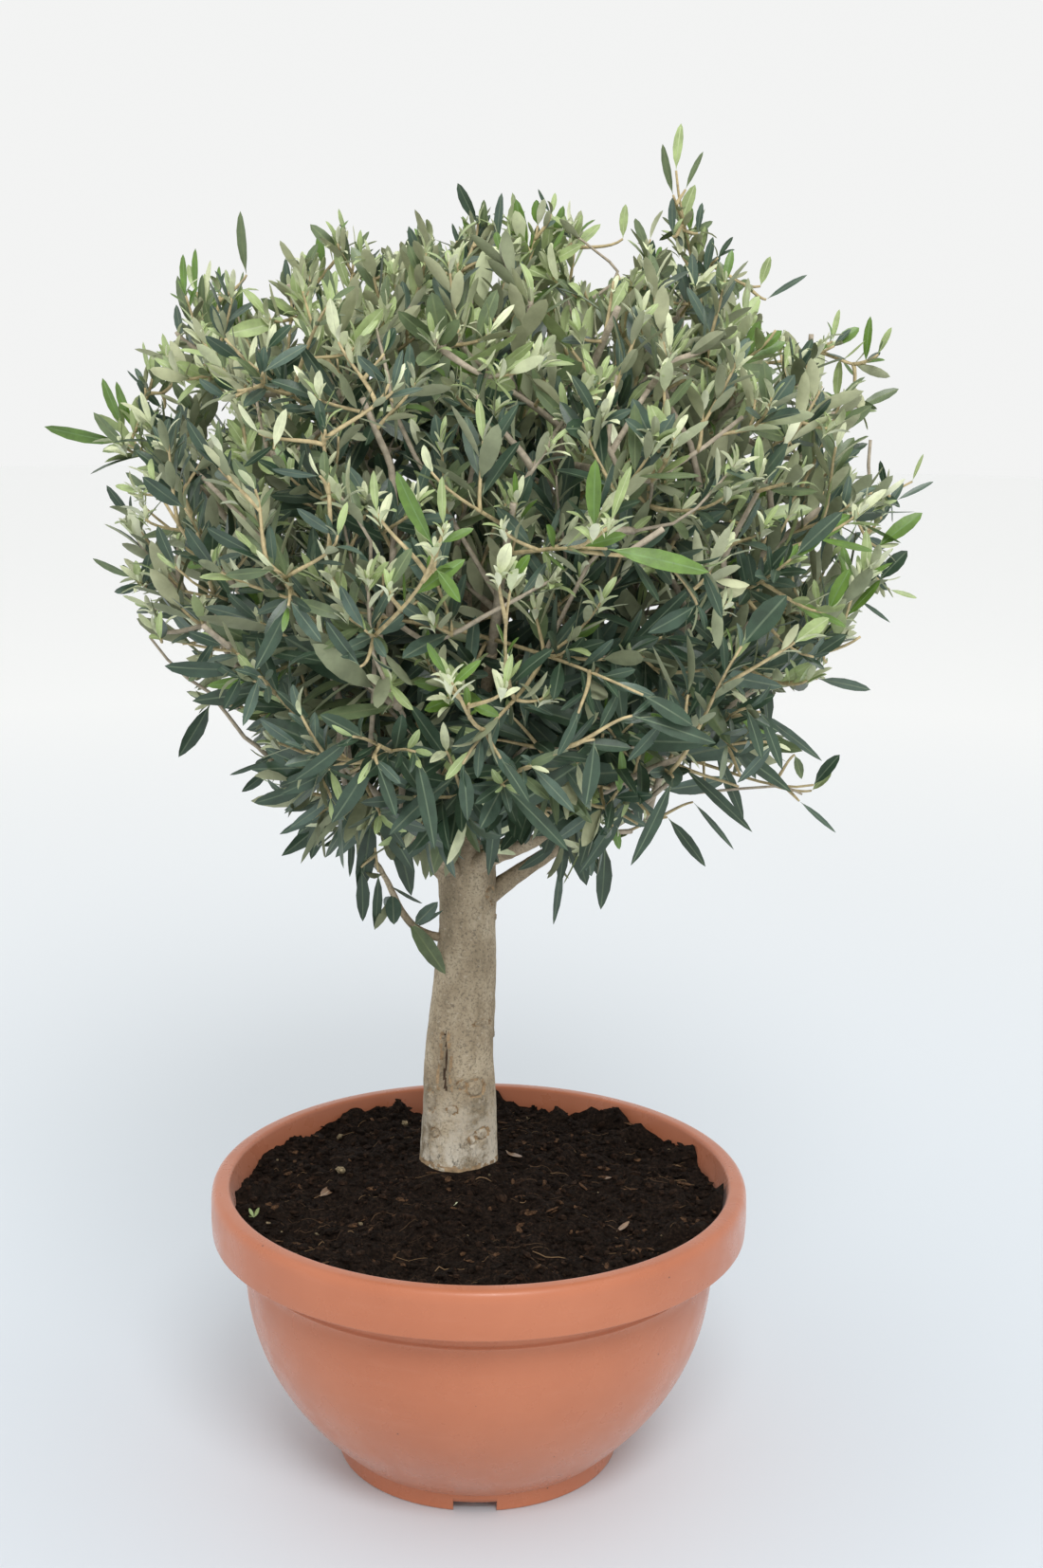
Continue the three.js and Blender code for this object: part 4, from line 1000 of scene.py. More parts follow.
def grow_mass(growth, index):
    """Grows one mass: its stem, the growth that shows singly, branches, then fine leafy twigs."""
    mass = masses[index]
    limb = limbs[index]
    tier = mass["tier"]
    random, leaf_random = seeded(mass["seed"]), seeded(mass["seed"] + 50)
    tip, heading = limb([1.0])[0], along(limb, [1.0])[0]
    end = mass["site"] + unit(mass["site"] - tip) * STEM["past"]
    main = bezier(tip - heading, tip + heading * 0.4 * np.linalg.norm(end - tip), end)
    growth.twig(main, STEM["radius"], STEM["tip_radius"], 0)
    joints = list(joints_on(main, [0.1, 0.25, 0.4, 0.55, 0.7, 0.85]))
    grow_seen(growth, index, joints, seeded(mass["seed"] + 90))
    taken = [point for point, _ in joints]

    def grow(kind, shares):
        count, attempts = kind["count"], 6 * kind["count"]
        while count > 0 and attempts > 0:
            attempts -= 1
            target = next_target(index, taken, random, kind)
            if target is None:
                continue
            ending = 0.25 * unit(target - CROWN["centre"]) + tier["lift"] * UP
            curve = twig_curve(best_joint(joints, target, tier["rise"]), target, kind["sag"], ending)
            if not in_cell(index, curve(np.linspace(0.1, 1, 7)), GROWTH["cell_margin"]).all():
                continue
            taken.append(target)
            joints.extend(joints_on(curve, shares))
            growth.twig(curve, kind["root"], kind["tip"], kind["kind"])
            spray = {**tier, "tint": spray_tint(tier, leaf_random()), "vigour": 0.82 + 0.3 * leaf_random()}
            # The inner twigs' leaves all take the deepest tint: painted shade inside the crown.
            if kind is INNER:
                spray["tint"], spray["vigour"] = DEEP, 1.1
            leaves_along(growth, curve, kind["leafy"], spray, leaf_random)
            if kind is not INNER and leaf_random() < tier["buds"]:
                add_bud(growth, curve, leaf_random)
            count -= 1

    grow(BRANCHES, [0.3, 0.5, 0.7, 0.9])
    grow(INNER, [0.5])
    grow(TWIGS, [0.5])
    add_stubs(growth, joints, random)


def add_stubs(growth, joints, random):
    """Short pruned ends of branches, cut square."""
    for _ in range(STUBS["count"]):
        point, heading = joints[int(random() * len(joints))]
        end = point + unit(heading + 0.5 * UP + 0.5 * any_heading(random)) * STUBS["length"]
        growth.twig(bezier(point, end), STUBS["radius"], 0.9 * STUBS["radius"], 0)


def spray_tint(tier, draw):
    """The tint of a spray's grown leaves; the low tier is darker, partly painted shade, and the high one
    fresher and lighter, partly painted light from above.
    """
    return (DEEP, GREY, OLIVE, FRESH, YOUNG)[sum(draw > limit for limit in tier["tints"])]


# ---------------------------------------------------------------- leaves

LEAF_ROWS = np.array([0.0, 0.09, 0.26, 0.48, 0.7, 0.9, 1.0])
LEAF_ROUND = np.array([0.0, 0.14, 0.68, 0.98, 0.98, 0.62, 0.0])
LEAF_POINTED = np.array([0.0, 0.13, 0.72, 1.0, 0.86, 0.4, 0.0])
RIB_HALF = 0.042


def leaf_template():
    """One leaf's triangles, each with 0 for its face, 1 for its back and 2 for its midrib and stalk."""
    inner = len(LEAF_ROWS) - 2
    root, tip = 5 * inner, 5 * inner + 1
    triangles, kinds = [], []

    def quad(a, b, c, d, kind):
        triangles.extend([(a, b, c), (a, c, d)])
        kinds.extend([kind, kind])

    for row in range(inner - 1):
        left, rib_left, rib_right, right, under = range(5 * row, 5 * row + 5)
        quad(left, rib_left, rib_left + 5, left + 5, 0)
        quad(rib_left, rib_right, rib_right + 5, rib_left + 5, 2)
        quad(rib_right, right, right + 5, rib_right + 5, 0)
        quad(right, under, under + 5, right + 5, 1)
        quad(under, left, left + 5, under + 5, 1)
    last = 5 * (inner - 1)
    for a, kind in zip(range(5), (0, 2, 0, 1, 1)):
        b = (a + 1) % 5
        triangles.extend([(root, b, a), (tip, last + a, last + b)])
        kinds.extend([2, kind])
    return np.array(triangles), np.array(kinds)


LEAF_TRIANGLES, LEAF_KINDS = leaf_template()


def leaf_points(rows):
    """The points of many leaves: each bends away from its face along its length and folds at its midrib."""
    columns = (np.array(column, float) for column in zip(*rows))
    root, heading, face, length, width, _, curl, fold, pointed = columns
    across = unit(np.cross(face, heading))
    face = np.cross(heading, across)
    bend = np.radians(np.where(np.abs(curl) < 0.1, 0.1, curl))[:, None]
    angle = bend * LEAF_ROWS[None]
    forward = np.sin(angle) / bend * length[:, None]
    down = (1 - np.cos(angle)) / bend * length[:, None]
    spine = root[:, None] + heading[:, None] * forward[..., None] - face[:, None] * down[..., None]
    normal = face[:, None] * np.cos(angle)[..., None] + heading[:, None] * np.sin(angle)[..., None]
    outline = lerp(LEAF_ROUND[None], LEAF_POINTED[None], pointed[:, None])
    half = (width / 2)[:, None] * outline
    lift = np.tan(np.radians(fold))[:, None] * half
    rib = np.minimum((RIB_HALF * width)[:, None], 0.7 * half)
    sides = across[:, None]
    left = spine - sides * half[..., None] + normal * lift[..., None]
    right = spine + sides * half[..., None] + normal * lift[..., None]
    rib_left = spine - sides * rib[..., None]
    rib_right = spine + sides * rib[..., None]
    under = spine - normal * np.minimum(0.5, 0.7 * half)[..., None]
    rings = np.stack([left, rib_left, rib_right, right, under], 2)[:, 1:-1]
    return np.concatenate([rings.reshape(len(rows), -1, 3), spine[:, :1], spine[:, -1:]], 1)


def add_leaves(mesh, rows):
    points = leaf_points(rows)
    tints = np.array([row[5] for row in rows], int)
    triangles = LEAF_TRIANGLES[None] + (np.arange(len(rows)) * points.shape[1])[:, None, None]
    slots = 3 * tints[:, None] + LEAF_KINDS[None]
    mesh.add(points, triangles, slots.ravel())


# ---------------------------------------------------------------- pot


COVE_FOOT = POT["band_foot"] - POT["cove_drop"]


def bowl_radius(height):
    share = (COVE_FOOT - height) / (COVE_FOOT - POT["foot_height"])
    return lerp(POT["bowl_radius"], POT["foot_radius"], share ** POT["bowl_curve"])


def inner_radius(height):
    """The inside wall, a wall's thickness in from the outside, up to the lip."""
    if height < COVE_FOOT:
        return bowl_radius(height) - POT["wall"]
    share = (height - COVE_FOOT) / (POT["height"] - COVE_FOOT)
    return lerp(POT["bowl_radius"] - POT["wall"], POT["lip_radius"], share)


def rounded(corners, steps):
    """An outline from corners (radius, height, rounding), each corner as a curve."""
    points = []
    for i, (x, z, bend) in enumerate(corners):
        here = np.array([x, z], float)
        if bend == 0 or i in (0, len(corners) - 1):
            points.append(here)
            continue
        before = np.array(corners[i - 1][:2], float) - here
        after = np.array(corners[i + 1][:2], float) - here
        start = here + before * min(0.45, bend / np.linalg.norm(before))
        end = here + after * min(0.45, bend / np.linalg.norm(after))
        for t in np.linspace(0, 1, steps):
            points.append((1 - t) ** 2 * start + 2 * t * (1 - t) * here + t**2 * end)
    return np.array(points)


def pot_outline():
    """The pot's section, from the axis under the floor out, up the outside, over the lip and down inside."""
    recess = POT["foot_radius"] - POT["foot_width"]
    foot = [(0, POT["floor_rise"], 0), (recess, POT["floor_rise"], 2), (recess + 1, 0, 1.2),
            (POT["foot_radius"], 0, 1.6), (POT["foot_radius"], POT["foot_height"] + 0.3, 1.5)]
    bowl = [(bowl_radius(z), z, 0) for z in np.linspace(POT["foot_height"] + 1.6, COVE_FOOT - 1.4, 26)]
    band = [
        (POT["bowl_radius"] + 0.9, COVE_FOOT, 0.7), (POT["cove_radius"] + 0.4, COVE_FOOT + 2.2, 0.9),
        (POT["cove_top"], POT["band_foot"] - 0.2, 1.5), (POT["band_radius"] - 0.7, POT["band_foot"], 1.0),
        (POT["band_radius"], POT["band_foot"] + 9, 5), (POT["band_radius"] - 0.4, POT["height"] - 0.4, 9),
        (POT["lip_radius"], POT["height"], 2.6), (inner_radius(191), 191, 4),
    ]
    inside = [(inner_radius(z), z, 0) for z in np.linspace(COVE_FOOT + 8, POT["foot_height"] + 9, 14)]
    floor = POT["floor_rise"] + POT["wall"]
    return rounded(foot + bowl + band + inside + [(POT["foot_radius"] - 8, floor, 4), (0, floor, 0)], 7)


def lathe(outline, sides):
    """A closed solid of revolution from an outline that starts and ends on the axis."""
    angles = round_angles(sides)
    ring = np.stack([np.cos(angles), np.sin(angles)], 1)
    radii, heights = outline[1:-1].T
    level = np.broadcast_to(heights[:, None, None], (len(heights), sides, 1))
    points = np.concatenate([radii[:, None, None] * ring[None], level], 2)
    points = np.concatenate([points.reshape(-1, 3), [[0, 0, outline[0, 1]], [0, 0, outline[-1, 1]]]])
    return points, closed_triangles(len(heights), sides)


def cut_away(piece, cutter):
    """Cuts a shape out of a piece and removes the cutter."""
    modifier = piece.modifiers.new("cut", "BOOLEAN")
    modifier.operation = "DIFFERENCE"
    modifier.object = cutter
    modifier.solver = "EXACT"
    with bpy.context.temp_override(object=piece, active_object=piece):
        bpy.ops.object.modifier_apply(modifier="cut")
    bpy.data.objects.remove(cutter)


def block(size, place, turn):
    """A cutter: a bevelled box of a size in millimetres, turned about the pot's axis."""
    bpy.ops.mesh.primitive_cube_add(size=1)
    box = bpy.context.object
    spin = Matrix.Rotation(math.radians(turn), 4, "Z")
    shift = Matrix.Translation(Vector(place) * MM)
    box.data.transform(spin @ shift @ Matrix.Diagonal((*(Vector(size) * MM), 1)))
    return box


def make_pot():
    points, triangles = lathe(pot_outline(), POT_SIDES)
    piece = make_piece("pot_moulded", points, triangles, 0, [pot_material()], 50, "pot", ["pot"])
    for i in range(POT["notches"]):
        size = (3 * POT["foot_width"], POT["notch_width"], 2 * POT["notch_height"])
        cut_away(piece, block(size, (POT["foot_radius"], 0, 0), -90 + 360 * i / POT["notches"]))
    for i in range(POT["drains"]):
        bpy.ops.mesh.primitive_cylinder_add(vertices=24, radius=POT["drain_radius"] * MM, depth=0.05)
        drain = bpy.context.object
        spin = Matrix.Rotation(math.radians(45 + 360 * i / POT["drains"]), 4, "Z")
        drain.data.transform(spin @ Matrix.Translation((POT["drain_circle"] * MM, 0, 0)))
        cut_away(piece, drain)


# ---------------------------------------------------------------- soil


def off_trunk(x, y):
    """How far places lie from the middle of the trunk's foot."""
    return np.hypot(x - TRUNK["foot"][0], y - TRUNK["foot"][1])


def soil_height(x, y):
    """The soil's surface: flat round the trunk, then a mound that falls to the wall, with soft lumps."""
    share = (off_trunk(x, y) - SOIL["flat_radius"]) / (SOIL["mound_radius"] - SOIL["flat_radius"])
    share = np.clip(share, 0, 1)
    fall = share * share * (3 - 2 * share)
    span_x, span_y, span_both = SOIL["lump_span"]
    waves = np.sin(x / span_x + 1) * np.cos(y / span_y - 0.6) + 0.5 * np.sin((x + y) / span_both)
    return lerp(SOIL["crown"], SOIL["edge"], fall) + SOIL["lump"] * waves * np.minimum(1, 3 * share)


def ground_at(x, y):
    """The loose surface: the soil's height with clods and crumbs."""
    spots = np.stack([x, y, np.zeros_like(x)], 1)
    clods = sum(height * rough(spots, span, seed, 2) for height, span, seed in SURFACE["clods"])
    near_rim = np.clip((np.hypot(x, y) - SURFACE["rim_from"]) / SURFACE["rim_over"], 0, 1)
    heaps = np.maximum(0, rough(spots, SURFACE["rim_span"], SURFACE["rim_seed"], 2))
    wall = near_rim * heaps * SURFACE["rim_height"]
    away = off_trunk(x, y) - TRUNK["foot_radius"]
    collar = SURFACE["collar"] * np.exp(-np.maximum(away, 0) / SURFACE["collar_span"])
    height = soil_height(x, y) + clods * np.clip(away / SURFACE["calm"], 0.15, 1) + wall + collar
    return np.minimum(height, POT["height"] + 0.5)


def make_soil():
    """A rough disc that fills the pot up to its wall, with crumbs, chips and fibres on it."""
    rings, sides = SOIL_MESH
    edge = inner_radius(SOIL["edge"]) + 1
    share = (np.arange(1, rings + 1) / rings) ** 0.8
    angles = round_angles(sides)
    x = (share[:, None] * np.cos(angles)[None] * edge).ravel()
    y = (share[:, None] * np.sin(angles)[None] * edge).ravel()
    top = np.stack([x, y, ground_at(x, y)], 1)
    wall = []
    for height in SOIL_LEVELS:
        reach = inner_radius(height) - 1
        wall.append(np.stack([reach * np.cos(angles), reach * np.sin(angles), np.full(sides, height)], 1))
    points = np.concatenate(wall + [top.reshape(rings, sides, 3)[::-1].reshape(-1, 3)])
    middle = np.array([[0.0, 0.0, SOIL_LEVELS[0]], [0.0, 0.0, ground_at(np.zeros(1), np.zeros(1))[0]]])
    mesh = Mesh()
    mesh.add(np.concatenate([points, middle]), closed_triangles(rings + len(wall), sides))
    compost = soil_material("compost", (0.026, 0.016, 0.011))
    mesh.piece("soil_body", [compost], slot="soil", stands_for=["soil"])
    scatter_crumbs(edge)
    scatter_fibres(edge)


def scattered(random, count, edge):
    """Places spread evenly over the soil, off the trunk."""
    found = []
    while len(found) < count:
        radius, turn = edge * math.sqrt(random()), 2 * math.pi * random()
        x, y = radius * math.cos(turn), radius * math.sin(turn)
        if off_trunk(x, y) > TRUNK["foot_radius"] + 3:
            found.append((x, y))
    return np.array(found)


def ball_template():
    """A ball of twenty triangles."""
    golden = (1 + 5**0.5) / 2
    points = [(s * 1.0, t * golden, 0.0) for s in (-1, 1) for t in (-1, 1)]
    points += [(0.0, s, t * golden) for s, t in [(p[0], p[1] / golden) for p in points[:4]]]
    points += [(t * golden, 0.0, s) for s, t in [(p[0], p[1] / golden) for p in points[:4]]]
    ball = unit(points)
    triangles = []
    for i in range(12):
        for j in range(i + 1, 12):
            for k in range(j + 1, 12):
                sides = [np.linalg.norm(ball[a] - ball[b]) for a, b in ((i, j), (j, k), (k, i))]
                if max(sides) < 1.2:
                    out = np.dot(np.cross(ball[j] - ball[i], ball[k] - ball[i]), ball[i]) > 0
                    triangles.append((i, j, k) if out else (i, k, j))
    return ball, np.array(triangles)


def crumb_shade(chip, random):
    """Which material a crumb has: half the chips are bark, a few crumbs are grit and some are brown."""
    if chip and random() < 0.5:
        return 2
    if random() < CRUMBS["grit"]:
        return 3
    return 1 if random() < CRUMBS["brown"] else 0


def scatter_crumbs(edge):
    """Loose crumbs of compost, a few paler, and chips of bark."""
    random = seeded(CRUMBS["seed"])
    ball, triangles = ball_template()
    places = scattered(random, CRUMBS["count"], edge - 3)
    heights = ground_at(places[:, 0], places[:, 1])
    mesh = Mesh()
    for (x, y), z in zip(places, heights):
        chip = random() < CRUMBS["chips"]
        size = CRUMBS["least"] + CRUMBS["range"] * random() ** 3
        shape = np.array([1 + random(), 0.7 + 0.6 * random(), 0.6 + 0.5 * random()]) * size
        if chip:
            shape = np.array([3.5 + 4 * random(), 1.6 + 1.2 * random(), 0.5])
        jitter = 1 + 0.5 * (np.array([random() for _ in range(12)]) - 0.5)
        lean = Matrix.Rotation(0.9 * (random() - 0.5), 3, "X")
        tilt = lean @ Matrix.Rotation(2 * math.pi * random(), 3, "Z")
        points = (ball * jitter[:, None] * shape) @ np.array(tilt)
        mesh.add(points + [x, y, z + 0.3 * size], triangles, crumb_shade(chip, random))
    shades = [
        soil_material("compost_dark", (0.020, 0.012, 0.008)),
        soil_material("compost_brown", (0.048, 0.027, 0.017)),
        soil_material("bark_chip", (0.16, 0.085, 0.045)),
        soil_material("grit", (0.42, 0.33, 0.2)),
    ]
    mesh.piece("soil_crumbs", shades, sharp=40, slot="soil")


def scatter_fibres(edge):
    """Thin dry fibres and rootlets that lie on the soil."""
    random = seeded(FIBRES["seed"])
    places = scattered(random, FIBRES["count"], edge - FIBRES["margin"])
    lines, radii, shades = [], [], []
    share = np.linspace(0, 1, FIBRES["rings"])
    for x, y in places:
        turn = 2 * math.pi * random()
        long = FIBRES["least"] + FIBRES["range"] * random() ** 2.4
        bow = long * 0.5 * (random() - 0.5)
        start = np.array([x, y])
        ahead = turned(turn)[:2]
        side = np.array([-ahead[1], ahead[0]])
        flat = start + share[:, None] * ahead * long + (share * (1 - share))[:, None] * 4 * side * bow
        inside = np.hypot(flat[:, 0], flat[:, 1]) < edge - 4
        if not inside.all():
            continue
        height = ground_at(flat[:, 0], flat[:, 1]) + 0.5 + 2.5 * share * (1 - share) * random()
        lines.append(np.column_stack([flat, height]))
        radii.append((0.13 + 0.3 * random() ** 3) * (1 - 0.5 * share))
        shades.append(1 if random() < 0.3 else 0)
    mesh = Mesh()
    add_tubes(mesh, np.array(lines), np.array(radii), 4, np.array(shades))
    rinds = [
        skin_material("fibre_brown", (0.10, 0.06, 0.035), 0.9, 0.2),
        skin_material("fibre_tan", (0.27, 0.17, 0.09), 0.9, 0.2),
    ]
    mesh.piece("soil_fibres", rinds, slot="soil")


# Litter on the soil: each small leaf's root and tip in the photograph's pixels, its tint and slenderness.
LITTER = [
    (533, 1213, 551, 1231, DRY, 0.2), (631, 1243, 646, 1247, DRY, 0.3), (337, 1262, 352, 1257, DRY, 0.4),
    (470, 1275, 484, 1270, PALE, 0.2), (268, 1284, 261, 1275, YOUNG, 0.4),
    (268, 1284, 275, 1274, YOUNG, 0.4), (268, 1284, 261, 1282, YOUNG, 0.5),
    (650, 1299, 662, 1295, DRY, 0.2), (558, 1341, 572, 1343, DRY, 0.2),
]


def on_soil(pixel):
    """The point of the soil's surface behind a pixel."""
    near, far = seen_at(pixel, -200), seen_at(pixel, 200)
    place = near
    for _ in range(3):
        height = float(ground_at(place[:1], place[1:2])[0]) + 1
        place = lerp(near, far, (near[2] - height) / (near[2] - far[2]))
    return place


def make_litter(greens):
    """A fallen leaf or two, scraps and a seedling."""
    growth = Growth()
    for *pixels, tint, slender in LITTER:
        root, tip_pixel = on_soil(pixels[:2]), pixels[2:]
        tip = on_soil(tip_pixel) + UP if tint == DRY else seen_at(tip_pixel, root[1] + 2)
        long = float(np.linalg.norm(tip - root))
        growth.leaf(root, unit(tip - root), UP + [0.1, -0.3, 0], long, slender * long, tint, -25.0, 14.0, 0.5)
    mesh = Mesh()
    add_leaves(mesh, growth.leaves)
    mesh.piece("soil_litter", greens, sharp=50, slot="foliage")


# ---------------------------------------------------------------- bark

PER_DEGREE = 0.42  # millimetres round the trunk
SLIT = {
    "turn": -115, "lean": 0.1, "middle": 280, "foot": 254, "top": 302, "wobble": 0.8, "wave": 4.6,
    "lip": 2.4, "spread": 0.06, "spread_below": 300,
}

# Healed branch scars on the trunk: the turn round it, the height, and half the width and height.
MARKS = [
    (-62, 259, 7.5, 6.2), (-140, 248, 4.6, 8), (-49, 225, 5.5, 4), (-84, 262, 4, 3.2), (-50, 305, 8, 2.2),
    (-100, 244, 4, 3), (-66, 222, 3, 3), (-128, 226, 3.4, 3.4), (12, 291, 6, 5), (95, 268, 8, 6),
    (150, 330, 6, 4), (48, 236, 5, 6), (-32, 396, 6, 5), (-10, 378, 3, 3), (-24, 388, 3, 3),
]


def add_limb(mesh, curve, radius_at, sides, rings, relief, seed, shade=None):
    """A limb with its bark's relief, closed at both ends."""
    share = np.linspace(0, 1, rings)
    centres = curve(share)
    angles = round_angles(sides)
    radii = radius_at(share[:, None], angles[None]) * np.ones((rings, sides))
    bare = tube_rings(centres[None], np.ones((1, rings)), sides)[0]
    heading = bare - centres[:, None]
    points = centres[:, None] + heading * radii[..., None]
    grain = relief(points.reshape(-1, 3), seed).reshape(rings, sides)
    points = points + heading * grain[..., None]
    slots = np.zeros((rings - 1) * sides, int) if shade is None else shade(points[:-1].reshape(-1, 3))
    points = np.concatenate([points.reshape(-1, 3), centres[:1], centres[-1:]])
    mesh.add(points, closed_triangles(rings, sides), np.concatenate([slots, slots, np.zeros(2 * sides, int)]))


def trunk_place(points):
    """The turn round the trunk's middle, in degrees, and the height of points."""
    middle = trunk_curve(trunk_share(points[:, 2]))
    return np.degrees(np.arctan2(points[:, 1] - middle[:, 1], points[:, 0] - middle[:, 0])), points[:, 2]


def trunk_relief(points, seed):
    """Soft swellings and fine grain, an old slit scar, healed knots and creases."""
    swell = rough(points * [1, 1, 0.4], 24, seed, 2) * 1.1
    grain = rough(points * [1, 1, 0.5], 4.5, seed + 5, 2) * 0.28
    turn, height = trunk_place(points)
    return swell + grain + scar_at(turn, height) + sum(mark_at(turn, height, *mark) for mark in MARKS)


def off_scar(turn, height):
    """How far across the slit points lie, in millimetres, and 1 within its length."""
    off = (turn - SLIT["turn"] + SLIT["lean"] * (height - SLIT["middle"])) * PER_DEGREE
    off = off + SLIT["wobble"] * np.sin(height / SLIT["wave"])
    return off, np.clip((height - SLIT["foot"]) / 6, 0, 1) * np.clip((SLIT["top"] - height) / 5, 0, 1)


def scar_at(turn, height):
    """A slit of dead bark between two raised lips that spread to its foot."""
    off, fade = off_scar(turn, height)
    lips = SLIT["lip"] + SLIT["spread"] * (SLIT["spread_below"] - height)
    return fade * (1.3 * np.exp(-((np.abs(off) - lips) ** 2) / 2.2) - 1.9 * np.exp(-(off**2) / 1.1))


def from_mark(turn, height, mark_turn, mark_height, wide, tall):
    """How far points lie from a mark's middle, 1 at its edge."""
    return np.hypot((turn - mark_turn) * PER_DEGREE / wide, (height - mark_height) / tall)


def mark_at(turn, height, *mark):
    """A healed branch scar: a low boss with a groove round it."""
    away = from_mark(turn, height, *mark)
    rings = 0.7 * np.cos(11 * away) * (away < 1)
    return np.exp(-((away / 0.7) ** 2)) + rings - 1.5 * np.exp(-(((away - 1) / 0.16) ** 2))


def trunk_shade(points):
    """The bark slot at points: 1 ochre on the lips and round the marks, 2 dark in the slit, 0 elsewhere."""
    turn, height = trunk_place(points)
    off, fade = off_scar(turn, height)
    broken = rough(points, 3.2, 9.0)
    off_lip = np.abs(off) - SLIT["lip"] - SLIT["spread"] * (SLIT["spread_below"] - height)
    lips = (np.abs(off_lip) < 0.9) & (fade > 0.5) & (broken > -0.12)
    rims = np.zeros(len(points), bool)
    for mark in MARKS:
        rims |= (np.abs(from_mark(turn, height, *mark) - 1) < 0.2) & (broken > -0.04)
    foot = (height < 203 + 2.5 * broken) & (broken > -0.2)
    slit = (np.abs(off) < 0.62 + 0.014 * (SLIT["top"] - height)) & (fade > 0.4)
    return np.where(slit, 2, np.where(lips | rims | foot, 1, 0))


def bough_relief(points, seed):
    """Soft swellings of the boughs' bark."""
    return rough(points * [1, 1, 0.6], 9, seed, 2) * 0.45


def tapering(root, tip, collar, span):
    """A limb's radius: an even taper with a collar round its root."""

    def at(share, angle):
        return lerp(root, tip, share) + collar * np.exp(-share / span)

    return at


def make_bark():
    """The trunk, which goes on a little under the soil's surface, the boughs and the sprig as one piece."""
    mesh = Mesh()

    def stretched(share):
        share = lerp(-TRUNK_BELOW, 1, share)
        points = trunk_curve(np.maximum(share, 0))
        points[:, 2] += np.minimum(share, 0) * (FORK[2] - TRUNK_FOOT[2])
        return points

    def radius(share, angle):
        return trunk_radius(np.maximum(lerp(-TRUNK_BELOW, 1, share), 0), angle)

    add_limb(mesh, stretched, radius, *TRUNK_MESH, trunk_relief, 1.7, trunk_shade)
    for index, limb in limbs.items():
        thick = BOUGH["leader_radius" if masses[index]["tier"]["name"] == "top" else "root_radius"]
        bough_radius = tapering(thick, BOUGH["tip_radius"], *BOUGH_COLLAR)
        add_limb(mesh, limb, bough_radius, *BOUGH_MESH, bough_relief, 3.0 + index)
    root = trunk_curve([trunk_share(SPRIG["height"])])[0]
    end = root + [-SPRIG["reach"] - TRUNK["waist_radius"], -SPRIG["forward"], SPRIG["rise"]]
    sprig = bent(root, end, unit([-1, -0.2, SPRIG["climb"]]), SPRIG["bend"])
    sprig_radius = tapering(SPRIG["root_radius"], SPRIG["tip_radius"], *SPRIG_COLLAR)
    add_limb(mesh, sprig, sprig_radius, *SPRIG_MESH, bough_relief, 40.0)
    wood = ["trunk", "sprig"] + [f"bough_{mass['name']}" for mass in masses]
    ochre = skin_material("bark_ochre", (0.36, 0.25, 0.145), 0.85, 0.25, 0.45, 260)
    dark = skin_material("bark_slit", (0.09, 0.06, 0.04), 0.9, 0.15, 0.3, 260)
    mesh.piece("bark", [bark_material(), ochre, dark], slot="bark", stands_for=wood)
    return sprig


# ---------------------------------------------------------------- crown

TWIG_RINGS = 9
CROWN_PIECES = {
    "low_back": ["low_1", "low_2"], "low_left": ["low_3", "low_4", "low_5"],
    "middle_back": ["middle_1", "middle_2"], "middle_front": ["middle_3", "middle_4", "middle_5"],
    "high_back": ["high_1", "high_2"], "high_front": ["high_3", "high_4", "top_1"],
}


def make_crown(sprig, greens):
    """Grows every mass and joins its leaves and twigs, each kind apart, tier by tier."""
    rinds = [
        skin_material("twig_grey", (0.42, 0.36, 0.275), 0.8, 0.3, 0.3, 220),
        skin_material("twig_tan", (0.50, 0.405, 0.225), 0.7, 0.35, 0.3, 220),
    ]
    share = np.linspace(0, 1, TWIG_RINGS)
    for name, members in CROWN_PIECES.items():
        growth = Growth()
        chosen = [i for i, mass in enumerate(masses) if mass["name"] in members]
        for index in chosen:
            grow_mass(growth, index)
        kept = trimmed(growth.leaves) + growth.fixed
        if name == "low_left":
            kept += sprig_leaves(sprig)
        leaves, twigs = Mesh(), Mesh()
        add_leaves(leaves, kept)
        replaced = [f"mass_{masses[i]['name']}" for i in chosen]
        leaves.piece(f"leaves_{name}", greens, sharp=50, slot="foliage", stands_for=replaced)
        centres = np.array([curve(share) for curve, _, _, _ in growth.twigs])
        radii = np.array([lerp(root, tip, share) for _, root, tip, _ in growth.twigs])
        kinds = np.array([kind for _, _, _, kind in growth.twigs])
        add_tubes(twigs, centres, radii, 6, kinds)
        twigs.piece(f"twigs_{name}", rinds, slot="bark")


def sprig_leaves(sprig):
    """The few dark leaves of the low sprig on the trunk."""
    growth = Growth()
    spray = {**SPRAY, "tint": DEEP, "slender": 0.26, "pointed": 0.6, "hang": 0.3, "young": 20, "paling": 0.3}
    leaves_along(growth, sprig, 0.66, spray, seeded(SPRIG_SEED))
    for share, tip_pixel, tint, slender in SPRIG_LEAVES:
        root = sprig([share])[0]
        tip = seen_at(tip_pixel, root[1] - 14)
        long = float(np.linalg.norm(tip - root))
        face = np.array([0.2, -0.9, 0.3])
        growth.leaf(root, unit(tip - root), face, long, slender * long, tint, 14.0, 6.0, 0.8)
    return growth.leaves


# ---------------------------------------------------------------- stage, light and camera


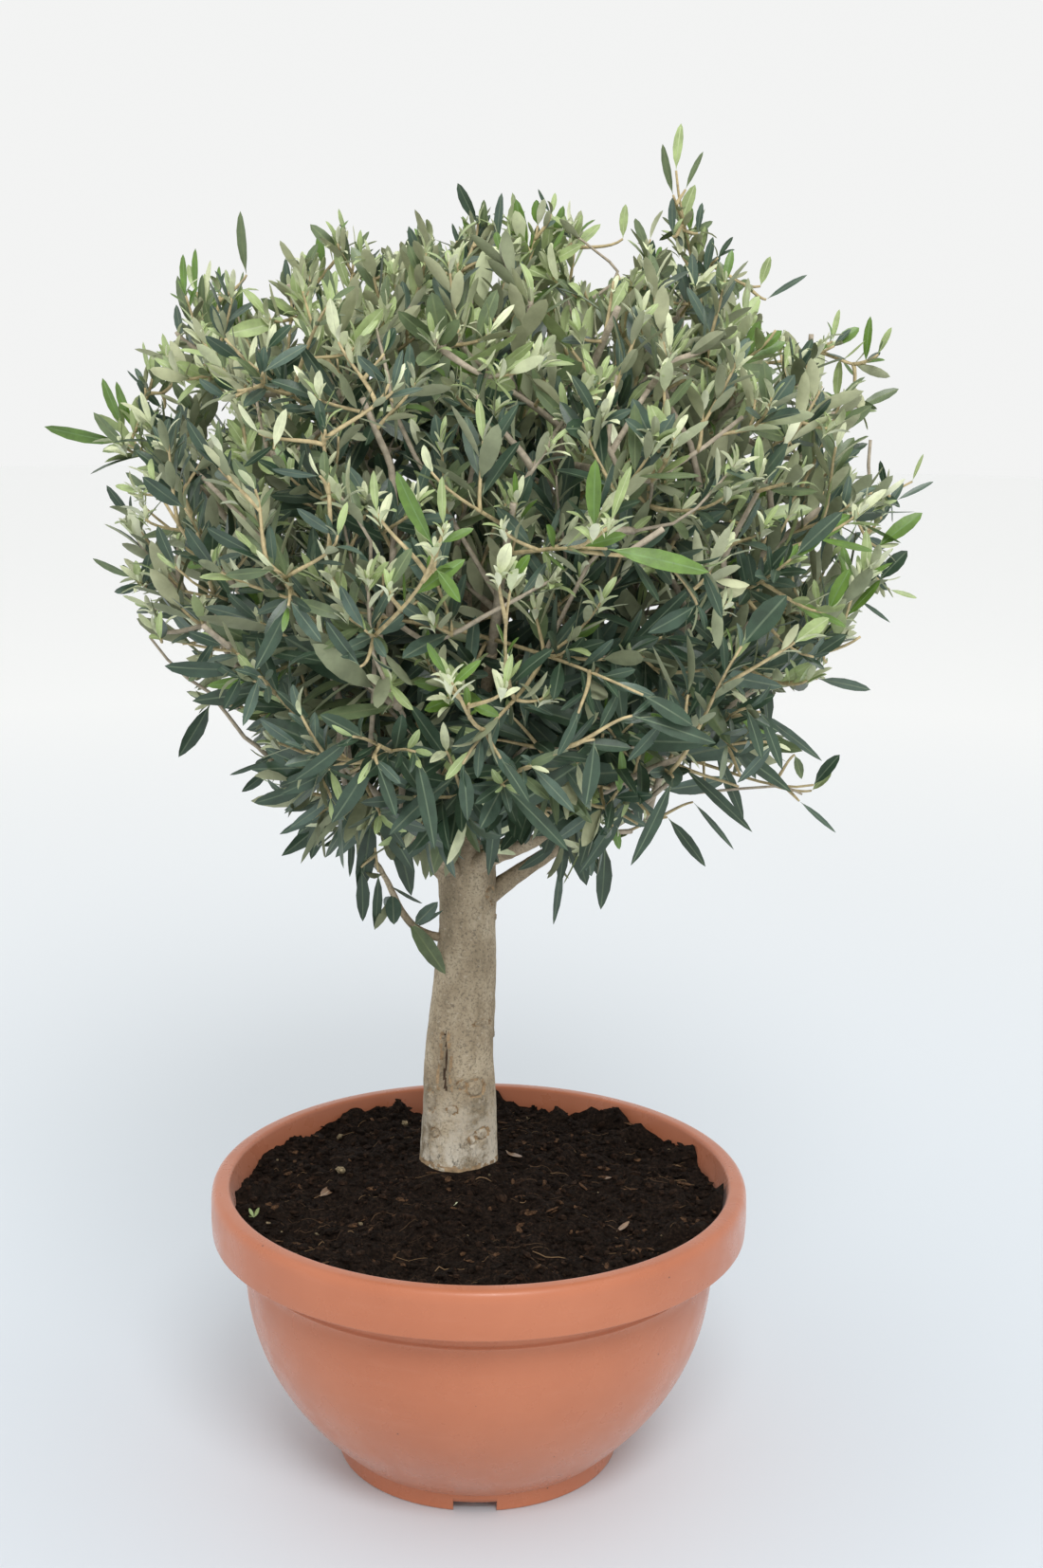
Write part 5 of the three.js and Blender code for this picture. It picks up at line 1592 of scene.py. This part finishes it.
def make_stage():
    """A plain pale floor that grows as pale as the backdrop towards its edge: painted light, so that the far
    floor, which gets less of the key light, looks as bright as the backdrop.
    """
    bpy.ops.mesh.primitive_circle_add(vertices=96, radius=FLOOR["radius"], fill_type="NGON")
    floor = bpy.context.object
    floor.name = "floor"
    material, nodes, shader = new_material("pale_floor", FLOOR["near"], 0.6, 0.3)
    away = nodes.tree.nodes.new("ShaderNodeVectorMath")
    away.operation = "LENGTH"
    nodes.link(nodes.place, away.inputs[0])
    share = nodes.span(away.outputs["Value"], *FLOOR["span"])
    nodes.link(nodes.mix(share, FLOOR["near"], FLOOR["far"]), shader.inputs["Base Color"])
    floor.data.materials.append(material)


def add_light(name, place, aim, size, power):
    """A large soft area light that looks at a point; lengths in metres."""
    data = bpy.data.lights.new(name, "AREA")
    data.shape = "DISK"
    data.size = size
    data.energy = power
    light = bpy.data.objects.new(name, data)
    light.location = place
    light.rotation_euler = (Vector(aim) - Vector(place)).to_track_quat("-Z", "Y").to_euler()
    bpy.context.scene.collection.objects.link(light)


def make_light():
    world = bpy.data.worlds.new("studio")
    world.use_nodes = True
    world.node_tree.nodes["Background"].inputs["Color"].default_value = (*BACKDROP, 1)
    world.node_tree.nodes["Background"].inputs["Strength"].default_value = 1.0
    bpy.context.scene.world = world
    add_light("key", **KEY_LIGHT)
    bpy.context.scene.view_settings.view_transform = "Standard"


def camera_axes():
    """The camera's axes: to its right, above it and ahead of it."""
    tilt, roll = math.radians(CAMERA["tilt"]), math.radians(CAMERA["roll"])
    right = Vector((1, 0, 0))
    ahead = Vector((0, math.cos(tilt), -math.sin(tilt)))
    above = Vector((0, math.sin(tilt), math.cos(tilt)))
    across = right * math.cos(roll) + above * math.sin(roll)
    return across, above * math.cos(roll) - right * math.sin(roll), ahead


def make_camera():
    """The photograph's viewpoint: in front, a little above the crown's middle, tilted down."""
    data = bpy.data.cameras.new("camera")
    data.sensor_width = 36
    data.lens = CAMERA["focus"] * data.sensor_width / max(CAMERA["image"])
    camera = bpy.data.objects.new("camera", data)
    across, upward, ahead = camera_axes()
    turn = Matrix((across, upward, -ahead)).transposed().to_4x4()
    camera.matrix_world = Matrix.Translation(Vector(CAMERA["place"]) * MM) @ turn
    bpy.context.scene.collection.objects.link(camera)
    bpy.context.scene.camera = camera


# ---------------------------------------------------------------- the scene

make_camera()
make_light()
make_stage()
make_pot()
make_soil()
leaf_skins = leaf_materials()
make_litter(leaf_skins)
make_crown(make_bark(), leaf_skins)

bpy.context.view_layer.update()
